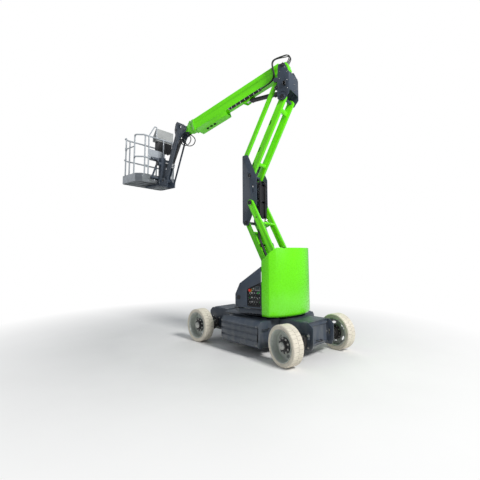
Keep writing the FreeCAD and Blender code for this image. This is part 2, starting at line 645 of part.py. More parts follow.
def cylinder_barrel(base, eye, radius, length, eye_half, eye_radius=44.0, pin=PIN_RADIUS, bottom=110.0):
    """Hydraulic barrel from its base eye towards the rod eye, with end cap, gland and a bore for the rod."""
    tip = along(base, eye, length)
    tube = rod_between(along(base, eye, 30), tip, radius)
    cap = rod_between(along(base, eye, 30), along(base, eye, 75), radius + 6)
    gland = rod_between(along(base, eye, length - 55), tip, radius + 3)
    ring = rod_y(base, eye_radius, -eye_half, eye_half)
    body = joined([tube, cap, gland, ring])
    bore = rod_between(along(base, eye, bottom), along(base, eye, length + 10), radius * ROD_SHARE + PIN_CLEARANCE)
    return body.cut([bore, rod_y(base, pin + PIN_CLEARANCE, -eye_half - 5, eye_half + 5)])


def cylinder_rod(base, eye, radius, inside, eye_half, eye_radius=38.0):
    """Chromed rod with its eye and the eye's own pin, which stays between the ears."""
    rod = rod_between(along(base, eye, inside), eye, radius * ROD_SHARE)
    ring = rod_y(eye, eye_radius, -eye_half, eye_half)
    pin = rod_y(eye, eye_radius * 0.55, -eye_half - 3, eye_half + 3)
    return joined([rod, ring, pin])


def pillar():
    """Twin pillar plates with a slanted head, pins for the arms, a tube and a front web between them."""
    x0, z0 = LOWER_TOP
    inner, outer = PILLAR_Y, PILLAR_Y + PILLAR_PLATE
    outline = [(x0 + 160, z0 - 400), (x0 + 195, z0 - 350), (x0 + 195, TIE_PIN[1] + 30), (x0 + 180, TIE_PIN[1] + 42),
               (x0 + 85, TIE_PIN[1] + 42), (x0 - 95, z0 + 480), (x0 - 95, z0 - 40), (x0 - 50, z0 - 90),
               (x0 + 80, z0 - 400)]
    plate = side_plate(outline, inner, outer, 8.0)
    plate = plate.cut(bar_between((x0 - 20, z0 + 190), (x0 - 20, z0 + 330), 22, inner - 5, outer + 5))
    boss = rod_y((x0 + 68, UPPER_PIN[1] + 60), 16, outer, outer + 14)
    pins = [rod_y(UPPER_PIN, PIN_RADIUS, -outer - 6, outer + 6), rod_y(LINK_TOP, PIN_RADIUS, -outer - 6, outer + 6),
            rod_y(LOWER_TOP, PIN_RADIUS, -LOWER_ARM_Y - LOWER_ARM_THICK - 10, LOWER_ARM_Y + LOWER_ARM_THICK + 10)]
    stub = rod_y(TIE_PIN, TIE_PIN_RADIUS, TIE_EAR_Y, outer + 6)
    ear = link_bar(TIE_PIN, shifted(TIE_PIN, (-20, -105)), 60, TIE_EAR_Y, TIE_EAR_Y + 16)
    brace = box(TIE_PIN[0] - 45, TIE_PIN[0] + 10, TIE_EAR_Y, inner, TIE_PIN[1] - 130, TIE_PIN[1] - 80)
    web = box(x0 + 155, x0 + 171, -inner, inner, z0 - 60, z0 + 360)
    tube = rod_y((x0 + 30, z0 + 250), 30, -inner, inner)
    return joined([mirrored(plate), mirrored(boss), stub, ear, brace, web, tube] + pins)


def upper_arms():
    """Pair of deep upper arms with weld slots, joined by a cross box near the top and a tube near the foot."""
    y0, y1 = UPPER_ARM_Y, UPPER_ARM_Y + UPPER_ARM_THICK
    bar = link_bar(UPPER_PIN, UPPER_TOP, UPPER_ARM_DEPTH, y0, y1)
    side = -UPPER_ARM_DEPTH / 2 + 20
    for reach in (150.0, 450.0, 960.0):
        bar = bar.cut(bar_between(along(UPPER_PIN, UPPER_TOP, reach, side),
                                  along(UPPER_PIN, UPPER_TOP, reach + 90, side), 24, y1 - 6, y1 + 5))
    cross = bar_between(along(UPPER_PIN, UPPER_TOP, UPPER_ARM_LENGTH - 240, -12),
                        along(UPPER_PIN, UPPER_TOP, UPPER_ARM_LENGTH - 170, -12), 84, -y0, y0)
    tube = rod_y(along(UPPER_PIN, UPPER_TOP, 250), 36, -y0, y0)
    return bored(joined([mirrored(bar), cross, tube]), [UPPER_PIN, UPPER_TOP], -y1 - 5, y1 + 5)


def tie_bar():
    """Tie bar on the near side, with a round eye below and a forked head above."""
    y0, y1 = UPPER_ARM_Y, UPPER_ARM_Y + UPPER_ARM_THICK
    bar = link_bar(TIE_PIN, TIE_TOP, TIE_DEPTH, y0, y1)
    slit = bar_between(along(TIE_PIN, TIE_TOP, UPPER_ARM_LENGTH - 150), along(TIE_PIN, TIE_TOP, UPPER_ARM_LENGTH + 60),
                       TIE_DEPTH + 20, y0 + 18, y1 - 18)
    return bored(bar.cut(slit), [TIE_PIN, TIE_TOP], y0 - 20, y1 + 20, TIE_PIN_RADIUS + PIN_CLEARANCE)


def top_knuckle():
    """Folded-plate knuckle: side plates with an arch-shaped recess at the arm pins, and a creased rear plate."""
    x0, z0 = BOOM_PIN
    ux, uz = UPPER_TOP
    outer, inner = PILLAR_Y + PILLAR_PLATE, PILLAR_Y
    outline = [(ux + 70, z0 + 35), (ux + 99, uz + 200), (ux + 94, uz - 20), (ux + 50, uz - 56), (ux - 50, uz - 56),
               (x0 - 117, uz + 60), (x0 - 117, z0 - 140), (x0 - 40, z0 + 35)]
    plate = side_plate(outline, inner, outer, 12.0)
    ears = [rod_y(TIE_TOP, 44, inner, outer), rod_y(LUFF_PIN, 44, inner, outer)]
    arch = joined([rod_y(UPPER_TOP, 96, outer - RECESS, outer + 1),
                   box(ux - 96, ux + 140, outer - RECESS, outer + 1, uz - 100, uz)])
    plate = joined([plate] + ears).cut(arch)
    rear = flat_plate([(x0 - 117, -inner), (x0 - 131, -inner + 40), (x0 - 131, inner - 40), (x0 - 117, inner),
                       (x0 - 105, inner), (x0 - 117, inner - 44), (x0 - 117, -inner + 44), (x0 - 105, -inner)],
                      uz + 112, z0 - 140)
    boss = rod_y(UPPER_TOP, 52, outer - RECESS, outer + 4)
    pins = [rod_y(UPPER_TOP, PIN_RADIUS, -outer - 4, outer + 4), rod_y(BOOM_PIN, PIN_RADIUS, -outer - 4, outer + 4),
            rod_y(LUFF_PIN, LUFF_PIN_RADIUS, -inner, inner)]
    stub = rod_y(TIE_TOP, TIE_PIN_RADIUS, UPPER_ARM_Y, inner)
    return joined([mirrored(plate), rear, mirrored(boss), stub] + pins)


# Boom and jib

def boom_section(width, depth, x0, x1, radius):
    """Return a solid bar of rounded box section about the boom axis, from x0 to x1 ahead of the boom pin."""
    half, deep = width / 2, depth / 2
    return cross_bar([(-half, -deep), (half, -deep), (half, deep), (-half, deep)], x0, x1, radius)


def on_boom(shape):
    """Return a piece that was built level about the boom's axis at the boom's place and angle."""
    tilted = shape.rotated(Vector(0, 0, 0), Vector(0, 1, 0), -BOOM_ANGLE)
    return tilted.translated(Vector(BOOM_FOOT[0], 0, BOOM_FOOT[1]))


def hose_tray():
    """Open-ended sheet trough below the boom, with a sloped mouth and three round holes in its floor."""
    half, deep, wall = BOOM_WIDTH / 2, BOOM_DEPTH / 2, 5.0
    rear, front = TRAY_REAR, BOOM_LENGTH - COLLAR_LENGTH - 20
    low = -deep - TRAY_DEPTH
    outside = side_plate([(rear, -deep + 1), (front, -deep + 1), (front - 10, -deep - 22), (front - 45, low),
                          (rear, low)], -half, half)
    inside = side_plate([(rear - 1, -deep), (front - wall, -deep), (front - 15, -deep - 22), (front - 48, low + wall),
                         (rear - 1, low + wall)], -half + wall, half - wall)
    holes = [Part.makeCylinder(26, 20, Vector(TRAY_REAR + reach, 20, low - 5)) for reach in (360.0, 450.0, 547.0)]
    return outside.cut([inside] + holes)


def main_boom():
    """Boom tube with side seams, mouth collar, tail lug over the pin, luff cylinder ears and the hose tray."""
    start, wall = 95.0, BOOM_WALL
    tube = boom_section(BOOM_WIDTH, BOOM_DEPTH, start, BOOM_LENGTH, 14.0)
    collar = boom_section(BOOM_WIDTH + 16, BOOM_DEPTH + 16, BOOM_LENGTH - COLLAR_LENGTH, BOOM_LENGTH, 18.0)
    mouth = boom_section(FLY_WIDTH + 2 * SEAT, FLY_DEPTH + 2 * SEAT, BOOM_LENGTH - 130, BOOM_LENGTH + 1, 10.0)
    inside = boom_section(BOOM_WIDTH - 2 * wall, BOOM_DEPTH - 2 * wall, start + 60, BOOM_LENGTH - 130, 8.0)
    half, deep = BOOM_WIDTH / 2, BOOM_DEPTH / 2
    seam = mirrored(box(start + 10, BOOM_LENGTH - COLLAR_LENGTH, half - 3, half + 1, 14, 20))
    pin = (0.0, -BOOM_AXIS_RISE)
    lug = side_plate([(-58, -70), (-30, -108), (40, -118), (start + 40, -118), (start + 40, 118), (30, 74), (-40, 60),
                      (-58, 30)], -half + 2, half - 2, 10.0)
    reach, drop = LUFF_EYE_REACH, LUFF_EYE_DROP
    ear = side_plate([(reach - 190, -deep + 2), (reach - 40, -drop - 44), (reach + 40, -drop - 44),
                      (reach + 130, -deep + 2)], LUFF_EAR_Y, LUFF_EAR_Y + 12, 14.0)
    ear = ear.cut(rod_y((reach, -drop), 20, LUFF_EAR_Y - 5, LUFF_EAR_Y + 20))
    solid = joined([tube, collar, lug, mirrored(ear), hose_tray()])
    solid = solid.cut([mouth, inside, seam])
    return on_boom(bored(solid, [pin], -half - 5, half + 5))


def energy_chain():
    """Link chain that carries the hoses under the near edge of the boom."""
    deep, start, pitch, links = BOOM_DEPTH / 2, 560.0, 62.0, 12
    y0, y1 = LUFF_EAR_Y + 15, BOOM_WIDTH / 2
    blocks = []
    for i in range(links):
        x = start + i * pitch
        blocks.append(box(x, x + pitch - 6, y0, y1, -deep - 44, -deep - SEAT))
    spine = box(start, start + links * pitch, y0 + 6, y1 - 6, -deep - 36, -deep - 8)
    return on_boom(joined([spine] + blocks))


def fly_boom():
    """Inner boom tube, its wear pads and the two bracket plates at its tip that carry the boom head."""
    inside, end, reach = BOOM_LENGTH - FLY_INSIDE, BOOM_LENGTH + FLY_OVERHANG, HEAD_PIN_REACH
    tube = boom_section(FLY_WIDTH, FLY_DEPTH, inside, end, 10.0)
    hollow = boom_section(FLY_WIDTH - 14, FLY_DEPTH - 14, inside - 1, end - 12, 6.0)
    pads = boom_section(BOOM_WIDTH - 2 * BOOM_WALL - 2 * SEAT, BOOM_DEPTH - 2 * BOOM_WALL - 2 * SEAT, inside + 10,
                        inside + 110, 10.0)
    half = FLY_WIDTH / 2
    bracket = side_plate([(BOOM_LENGTH + RUNNING_GAP, -98), (BOOM_LENGTH + RUNNING_GAP, 110), (reach - 150, 152),
                          (reach - 70, 76), (reach + 12, 38), (reach + 38, 12), (reach + 38, -14),
                          (reach + 12, -40), (reach - 40, -62), (reach - 100, -98)], half - 1, half + 16, 8.0)
    return on_boom(bored(joined([tube, pads, mirrored(bracket)]).cut(hollow), [(reach, 0.0)], -100, 100,
                         HEAD_PIN_RADIUS + PIN_CLEARANCE))


def boom_head():
    """Head bracket held level at the boom's tip: two shaped plates with a window, and their cross pins."""
    hx, hz = HEAD_PIN
    jx, jz = JIB_PIN
    bx, bz = JIB_CYLINDER_BASE
    y0, y1 = HEAD_PLATE_Y, HEAD_PLATE_Y + HEAD_PLATE
    outline = [(hx - 42, hz - 14), (hx - 42, hz + 30), (hx + 26, hz + 117), (jx - 19, jz + 188), (jx + 26, jz + 133),
               (jx + 46, jz + 20), (jx + 42, jz - 36), (bx + 44, bz - 22), (bx + 8, bz - 40), (bx - 34, bz - 30),
               (JIB_LINK_PIN[0] - 46, JIB_LINK_PIN[1] - 20), (hx - 12, hz - 48)]
    plate = side_plate(outline, y0, y1, 8.0)
    window = side_plate([(jx - 150, jz + 20), (jx - 60, jz + 46), (jx - 52, jz + 118), (jx - 160, jz + 62)], y0 - 5,
                        y1 + 5, 12.0)
    pins = [rod_y(HEAD_PIN, HEAD_PIN_RADIUS, -y1, y1), rod_y(JIB_CYLINDER_BASE, JIB_BASE_RADIUS, -y1, y1)]
    stubs = mirrored(joined([rod_y(JIB_PIN, JIB_PIN_RADIUS, 46, y1), rod_y(JIB_LINK_PIN, LINK_PIN_RADIUS, y0, LINK_Y1)]))
    return joined([mirrored(plate.cut(window)), stubs] + pins)


def jib_arm():
    """Jib arm: a channel of two side walls, taller than the pivot, and a front web, with the cylinder's ears."""
    half, wall, depth = 58.0, 10.0, 84.0
    top = [along(JIB_PIN, JIB_END, -JIB_TOP, depth / 2), along(JIB_PIN, JIB_END, -JIB_TOP, 0),
           along(JIB_PIN, JIB_END, -JIB_TOP + 50, -depth / 2), along(JIB_PIN, JIB_END, JIB_LENGTH, -depth / 2),
           along(JIB_PIN, JIB_END, JIB_LENGTH, depth / 2)]
    side = joined([side_plate(top, half - wall, half), rod_y(JIB_END, depth / 2, half - wall, half)])
    front = side_plate([along(JIB_PIN, JIB_END, 300, depth / 2), along(JIB_PIN, JIB_END, JIB_LENGTH - 60, depth / 2),
                        along(JIB_PIN, JIB_END, JIB_LENGTH - 60, depth / 2 - 9),
                        along(JIB_PIN, JIB_END, 300, depth / 2 - 9)], -half + 2, half - 2)
    foot = rod_y(JIB_END, depth / 2, -half, half)
    ear = link_bar(JIB_EYE, along(JIB_PIN, JIB_END, 800), 60, 38, half - wall + 2)
    arm = joined([mirrored(side), front, foot, mirrored(ear)])
    return bored(arm, [JIB_PIN, JIB_END], -half - 5, half + 5, JIB_PIN_RADIUS + PIN_CLEARANCE)


def jib_link():
    """Twin levelling bars outside the head plates."""
    bar = link_bar(JIB_LINK_PIN, JIB_LINK_END, 44, HEAD_PLATE_Y + HEAD_PLATE + SEAT, LINK_Y1)
    return bored(mirrored(bar), [JIB_LINK_PIN, JIB_LINK_END], -LINK_Y1 - 5, LINK_Y1 + 5,
                 LINK_PIN_RADIUS + PIN_CLEARANCE)


def basket_support():
    """Support held level at the jib's end: two plates, pins and the lower half of the rotator."""
    kx, kz = JIB_END
    lx, lz = JIB_LINK_END
    y0, y1 = HEAD_PLATE_Y, HEAD_PLATE_Y + HEAD_PLATE
    outline = [(lx - 40, lz - 24), (lx - 40, lz + 30), (kx - 36, kz + 40), (kx + 40, kz + 44), (kx + 84, kz - 4),
               (kx + 84, lz - 10), (lx + 30, lz - 48)]
    plate = side_plate(outline, y0, y1, 10.0)
    bridge = box(kx + 66, kx + 84, -y0, y0, lz - 6, kz - 10)
    pin = rod_y(JIB_END, JIB_PIN_RADIUS, -y1, y1)
    stubs = mirrored(rod_y(JIB_LINK_END, LINK_PIN_RADIUS, y0, LINK_Y1))
    drum = Part.makeCylinder(ROTATOR_RADIUS, 120, Vector(ROTATOR_X, 0, kz - 110))
    return joined([mirrored(plate), bridge, stubs, drum, pin])


def on_basket(shape):
    """Return a basket piece turned about the rotator to where it stands."""
    return shape.rotated(Vector(ROTATOR_X, 0, 0), Vector(0, 0, 1), BASKET_REST)


def basket_mast():
    """Swivelling mast of the basket: rotator cap, post, motor, two beams, slanted braces and the floor arms."""
    x, kz = ROTATOR_X, JIB_END[1]
    rail = FLOOR_TOP + MID_RAIL
    face = BASKET_REAR + RAIL_INSET - RAIL_RADIUS - SEAT
    cap = Part.makeCylinder(ROTATOR_RADIUS, 36, Vector(x, 0, kz + 10 + SEAT))
    post = box(x - 36, x + 76, -55, 55, kz + 40, rail + 25)
    motor = Part.makeCylinder(46, 250, Vector(x + 16, -125, kz + 400), Vector(0, 1, 0))
    upper = box(x + 72, face, -240, 240, rail - 25, rail + 25)
    beam = box(x + 72, x + 100, -240, 240, kz + 64, kz + 104)
    brace = cross_bar([(46, rail - 20), (86, rail - 20), (236, kz + 90), (196, kz + 90)], x + 72, x + 94)
    shoe = box(x + 78, x + 110, -44, 44, FLOOR_TOP - 74, kz + 120)
    arms = mirrored(box(x + 80, BASKET_REAR + 470, 12, 44, FLOOR_TOP - 74, FLOOR_TOP - FLOOR_RIM - SEAT))
    return on_basket(joined([cap, post, motor, upper, beam, mirrored(brace), shoe, arms]))


# Basket

def basket_plan(inset, corner):
    """Return the (x, y) plan of the basket with chamfered corners, inset from its outer size."""
    x0, x1, half = BASKET_REAR + inset, BASKET_REAR + BASKET_DEPTH - inset, BASKET_WIDTH / 2 - inset
    return [(x0 + corner, -half), (x1 - corner * 0.5, -half), (x1, -half + corner * 0.5), (x1, half - corner * 0.5),
            (x1 - corner * 0.5, half), (x0 + corner, half), (x0, half - corner), (x0, -half + corner)]


def basket_floor():
    """Floor sheet on three bearers with a rim below, a toe board all round and a raised tread inside the posts."""
    z, corner = FLOOR_TOP, BASKET_CORNER
    sheet = flat_plate(basket_plan(0, corner), z - 8, z)
    tread = flat_plate(basket_plan(RAIL_INSET + RAIL_RADIUS + 8, corner), z, z + TREAD)
    board = flat_plate(basket_plan(0, corner), z, z + TOE_BOARD).cut(
        flat_plate(basket_plan(3.0, corner - 1.2), z, z + TOE_BOARD))
    rim = flat_plate(basket_plan(0, corner), z - FLOOR_RIM, z - 8).cut(
        flat_plate(basket_plan(20.0, corner - 8.3), z - FLOOR_RIM, z - 8))
    bearers = [box(BASKET_REAR + reach, BASKET_REAR + reach + 40, -BASKET_WIDTH / 2 + 30, BASKET_WIDTH / 2 - 30,
                   z - FLOOR_RIM, z - 8) for reach in (160.0, 330.0, 500.0)]
    return on_basket(joined([sheet, tread, board, rim] + bearers))


def entry_x(share):
    """Return the x of a point of the left side, as a share of the basket's depth."""
    return BASKET_REAR + share * BASKET_DEPTH


def rail_corners():
    """Return the (x, y) corners of the rails' centre lines: rear right, front right, front left and rear left."""
    plan = basket_plan(RAIL_INSET, BASKET_CORNER)
    return (plan[7], plan[0]), (plan[1], plan[2]), (plan[3], plan[4]), (plan[5], plan[6])


def rail_section(route, posts, extras=()):
    """Join top and middle rails along an (x, y) route with round posts, and with what else is welded to them."""
    top = FLOOR_TOP + BASKET_HEIGHT - RAIL_RADIUS
    rails = [tube_along([Vector(x, y, z) for x, y in route], RAIL_RADIUS, RAIL_BEND)
             for z in (top, FLOOR_TOP + MID_RAIL)]
    uprights = [Part.makeCylinder(POST_RADIUS, BASKET_HEIGHT - RAIL_RADIUS, Vector(x, y, FLOOR_TOP)) for x, y in posts]
    return on_basket(joined(uprights + rails + list(extras)))


def rails_right():
    """Rails round both right corners and along the right side."""
    rear, front = rail_corners()[:2]
    route = [(rear[0][0], rear[0][1] + RAIL_JOINT), rear[0], rear[1], front[0], front[1],
             (front[1][0], front[1][1] + RAIL_JOINT)]
    return rail_section(route, ((rear[0][0], rear[0][1] + POST_SET), (rear[1][0] + POST_SET, rear[1][1]),
                                (front[1][0] - BASKET_CORNER, front[0][1])))


def rails_front():
    """Straight front rails between the corners."""
    right, left = rail_corners()[1][1], rail_corners()[2][0]
    posts = [(left[0], sign * (left[1] - RAIL_JOINT - POST_SET)) for sign in (-1, 1)]
    return rail_section([(right[0], right[1] + RAIL_JOINT), (left[0], left[1] - RAIL_JOINT)], posts)


def rails_entry_front():
    """Rails round the front left corner, up to the entry's front post."""
    corner = rail_corners()[2]
    gate = (entry_x(ENTRY_FRONT), corner[1][1])
    return rail_section([(corner[0][0], corner[0][1] - RAIL_JOINT), corner[0], corner[1], gate], [gate])


def rails_entry_rear():
    """Rails round the rear left corner, up to the entry's rear post."""
    corner = rail_corners()[3]
    gate = (entry_x(ENTRY_REAR), corner[0][1])
    return rail_section([gate, corner[0], corner[1], (corner[1][0], corner[1][1] - RAIL_JOINT)],
                        (gate, (corner[1][0], corner[1][1] - POST_SET)))


def rails_rear():
    """Straight rear rails with two posts, their lanyard lugs and the hoop beside the console."""
    left, right = rail_corners()[3][1], rail_corners()[0][0]
    x, top = left[0], FLOOR_TOP + BASKET_HEIGHT - RAIL_RADIUS
    hoop = [Vector(x, 290, top), Vector(x, 140, top + 262), Vector(x, 84, top + 262), Vector(x, 84, top)]
    extras = [tube_along(hoop, 13.0, 26.0)]
    for y in REAR_POSTS:
        lug = box(x - 4, x + 4, y + 8, y + 68, FLOOR_TOP + 300, FLOOR_TOP + 360)
        hole = Part.makeCylinder(LANYARD_BORE / 2, 20, Vector(x - 10, y + 42, FLOOR_TOP + 330), Vector(1, 0, 0))
        extras.append(lug.cut(hole))
    route = [(x, right[1] + RAIL_JOINT), (x, left[1] - RAIL_JOINT)]
    return rail_section(route, [(x, y) for y in REAR_POSTS], extras)


def entry_bar():
    """Drop bar of the entry, with its hinge sleeve round the front post."""
    half = BASKET_WIDTH / 2 - RAIL_INSET
    z = FLOOR_TOP + MID_RAIL + 250
    post = Vector(entry_x(ENTRY_FRONT), half, z - 30)
    low = entry_x(ENTRY_REAR) + POST_RADIUS + SEAT
    bar = Part.makeCylinder(13.0, post.x - low, Vector(low, half, z), Vector(1, 0, 0))
    sleeve = Part.makeCylinder(POST_RADIUS + 8, 60, post)
    bore = Part.makeCylinder(POST_RADIUS + PIN_CLEARANCE, 60, post)
    return on_basket(joined([bar, sleeve]).cut(bore))


def console():
    """Basket control console: tall sloped hood over a box, hung on the rear rails by two hooks."""
    x0 = BASKET_REAR + RAIL_INSET + RAIL_RADIUS + SEAT
    z = FLOOR_TOP + BASKET_HEIGHT
    y0, y1 = CONSOLE_RIGHT, CONSOLE_LEFT
    hood = side_plate([(x0, z - 60), (x0 + 160, z - 60), (x0 + 160, z + 60), (x0 + 40, z + 235), (x0, z + 235)], y0, y1,
                      14.0)
    box_below = box(x0 + 4, x0 + 120, y0 + 40, y1 - 40, z - CONSOLE_DROP, z - 58)
    hooks = [box(x0 - 40, x0 + 10, y, y + 40, z + SEAT, z + 10) for y in (y0 + 40, y1 - 80)]
    stop = Part.makeCylinder(18, 30, Vector(x0 + 134, y1 - 60, z + 50))
    sticks = [Part.makeCylinder(9, 90, Vector(x0 + 134, y, z + 20)) for y in (y0 + 90, y0 + 220)]
    return on_basket(joined([hood, box_below, stop] + hooks + sticks))


def rear_panel():
    """Sheet panel inside the rear rails of the basket, below the console."""
    x0 = BASKET_REAR + RAIL_INSET + RAIL_RADIUS + SEAT
    low, high = FLOOR_TOP + MID_RAIL - 40, FLOOR_TOP + BASKET_HEIGHT - CONSOLE_DROP - 10
    panel = cross_bar([(-150, low), (290, low), (290, high), (-150, high)], x0, x0 + 5, 20.0)
    ribs = [box(x0 + 4, x0 + 14, y, y + 12, low + 15, high - 10) for y in (-90.0, 60.0, 220.0)]
    return on_basket(joined([panel] + ribs))


def build():
    """Return every piece by its node name."""
    parts = {
        "chassis_frame": chassis_frame(),
        "battery_box_left": battery_box(1),
        "battery_box_right": battery_box(-1),
        "steer_axle": steer_axle(),
        "drive_axle": drive_axle(),
        "slew_ring": slew_ring(),
        "knuckle_left": knuckle(1),
        "knuckle_right": knuckle(-1),
        "turret_frame": turret_frame(),
        "counterweight": counterweight(),
        "cover_left": cover(1),
        "cover_right": cover(-1),
        "control_panel": control_panel(),
        "hinge_post_left": hinge_post(1),
        "hinge_post_right": hinge_post(-1),
        "lower_arms": lower_arms(),
        "lower_link": lower_link(),
        "riser_barrel": cylinder_barrel(RISER_CYLINDER_BASE, RISER_EYE, 48.0, 860.0, 45.0),
        "riser_rod": cylinder_rod(RISER_CYLINDER_BASE, RISER_EYE, 48.0, 420.0, 40.0),
        "pillar": pillar(),
        "upper_arms": upper_arms(),
        "tie_bar": tie_bar(),
        "top_knuckle": top_knuckle(),
        "main_boom": main_boom(),
        "energy_chain": energy_chain(),
        "luff_barrel": cylinder_barrel(LUFF_PIN, LUFF_EYE, 38.0, 650.0, 40.0, pin=LUFF_PIN_RADIUS, bottom=46.0),
        "luff_rod": cylinder_rod(LUFF_PIN, LUFF_EYE, 38.0, 70.0, 38.0, 29.0),
        "fly_boom": fly_boom(),
        "boom_head": boom_head(),
        "jib_arm": jib_arm(),
        "jib_link": jib_link(),
        "jib_barrel": cylinder_barrel(JIB_CYLINDER_BASE, JIB_EYE, 30.0, 540.0, 34.0, 32.0, JIB_BASE_RADIUS, 60.0),
        "jib_rod": cylinder_rod(JIB_CYLINDER_BASE, JIB_EYE, 30.0, 80.0, 32.0, 28.0),
        "basket_support": basket_support(),
        "basket_mast": basket_mast(),
        "basket_floor": basket_floor(),
        "rails_rear": rails_rear(),
        "rails_right": rails_right(),
        "rails_front": rails_front(),
        "rails_entry_front": rails_entry_front(),
        "rails_entry_rear": rails_entry_rear(),
        "entry_bar": entry_bar(),
        "console": console(),
        "rear_panel": rear_panel(),
    }
    for name, end, side, is_steered in WHEELS:
        parts["tyre_" + name] = place_wheel(tyre(), end, side, is_steered)
        parts["rim_" + name] = place_wheel(rim(), end, side, is_steered)
        parts["hub_" + name] = place_wheel(hub(), end, side, is_steered)
    return parts


def centred(parts):
    """Return the pieces moved so that the middle of their common box lies over the origin, and the move."""
    boxes = [shape.BoundBox for shape in parts.values()]
    x = (min(b.XMin for b in boxes) + max(b.XMax for b in boxes)) / 2
    y = (min(b.YMin for b in boxes) + max(b.YMax for b in boxes)) / 2
    move = Vector(-x, -y, 0)
    return {name: shape.translated(move) for name, shape in parts.items()}, move


PARTS, MOVE = centred(build())
os.makedirs("parts", exist_ok=True)
for node, solid in PARTS.items():
    solid.exportStep("parts/" + node + ".step")
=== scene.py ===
"""Looks of an articulating boom lift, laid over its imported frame. Metres, in the frame's own axes, +Z up."""

import json
import logging
import math
from dataclasses import dataclass
from enum import Enum
from typing import Callable, Iterable, Optional, Sequence

import bpy
from mathutils import Matrix, Vector

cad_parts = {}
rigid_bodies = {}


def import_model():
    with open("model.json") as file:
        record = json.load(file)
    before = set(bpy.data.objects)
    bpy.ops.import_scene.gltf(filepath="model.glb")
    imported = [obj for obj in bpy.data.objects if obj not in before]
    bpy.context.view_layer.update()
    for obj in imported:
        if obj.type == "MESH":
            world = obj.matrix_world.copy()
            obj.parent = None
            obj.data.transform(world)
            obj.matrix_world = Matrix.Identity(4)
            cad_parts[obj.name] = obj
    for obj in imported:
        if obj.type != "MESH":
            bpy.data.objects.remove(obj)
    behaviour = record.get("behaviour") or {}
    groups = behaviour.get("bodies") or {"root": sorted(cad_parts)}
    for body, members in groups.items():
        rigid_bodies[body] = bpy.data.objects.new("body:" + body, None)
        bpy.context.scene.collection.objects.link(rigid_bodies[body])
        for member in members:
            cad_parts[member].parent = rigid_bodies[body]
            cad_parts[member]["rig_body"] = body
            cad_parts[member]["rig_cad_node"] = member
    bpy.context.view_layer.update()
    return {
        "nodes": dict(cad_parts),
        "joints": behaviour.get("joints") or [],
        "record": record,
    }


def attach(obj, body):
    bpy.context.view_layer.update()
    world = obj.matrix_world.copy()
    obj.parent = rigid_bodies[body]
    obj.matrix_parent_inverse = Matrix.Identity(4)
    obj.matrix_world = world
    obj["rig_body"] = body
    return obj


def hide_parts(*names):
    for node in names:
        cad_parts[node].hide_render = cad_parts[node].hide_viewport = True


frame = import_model()

logging.basicConfig(level=logging.INFO, format="%(message)s")
log = logging.getLogger("boom_lift")

Point = Sequence[float]
PIVOTS = {j["name"]: Vector(j["pos_m"]) for j in frame["joints"] if "pos_m" in j}
SLEW = PIVOTS["slew"]
CHASSIS_TURN = math.radians(-14.0)
BASKET_TURN = math.radians(-8.5)
BOOM_TURN = math.radians(17.0)


class Side(Enum):
    """Left or right of the machine."""

    LEFT = 1
    RIGHT = -1


class Facing(Enum):
    """The world axis that a turned piece, built upright, is laid along."""

    UP = (0.0, 0.0, 1.0)
    LEFT = (0.0, 1.0, 0.0)
    RIGHT = (0.0, -1.0, 0.0)
    AHEAD = (1.0, 0.0, 0.0)
    BACK = (-1.0, 0.0, 0.0)


def on_turret(x: float, y: float, z: float) -> Vector:
    """Return a point given in metres from the slew axis, X along the arms."""
    return Vector((SLEW.x + x, SLEW.y + y, z))


def chassis_matrix() -> Matrix:
    """Return the matrix from chassis sizes to the frame."""
    return Matrix.Translation((SLEW.x, SLEW.y, 0)) @ Matrix.Rotation(CHASSIS_TURN, 4, "Z")


def turret_matrix() -> Matrix:
    """Return the matrix from turret sizes to the frame."""
    return Matrix.Translation((SLEW.x, SLEW.y, 0))


def basket_matrix() -> Matrix:
    """Return the matrix from basket sizes, measured from the rotator, to the frame."""
    pivot = PIVOTS["basket_turn"]
    return Matrix.Translation((pivot.x, pivot.y, 0)) @ Matrix.Rotation(BASKET_TURN, 4, "Z")


def boom_matrix() -> Matrix:
    """Return the matrix from sizes along the boom's centre line, from its foot, to the frame."""
    pin = PIVOTS["luff"]
    turn = Matrix.Rotation(BOOM_TURN, 4, "Y")
    return Matrix.Translation(pin) @ turn @ Matrix.Translation((0, 0, 0.060))


def bar_matrix(start: Vector, end: Vector) -> Matrix:
    """Return the matrix whose X runs from start to end and whose Y is the machine's left."""
    along = (end - start).normalized()
    left = Vector((0, 1, 0))
    up = along.cross(left).normalized()
    return Matrix.Translation(start) @ Matrix((along, left, up)).transposed().to_4x4()


# Finishes


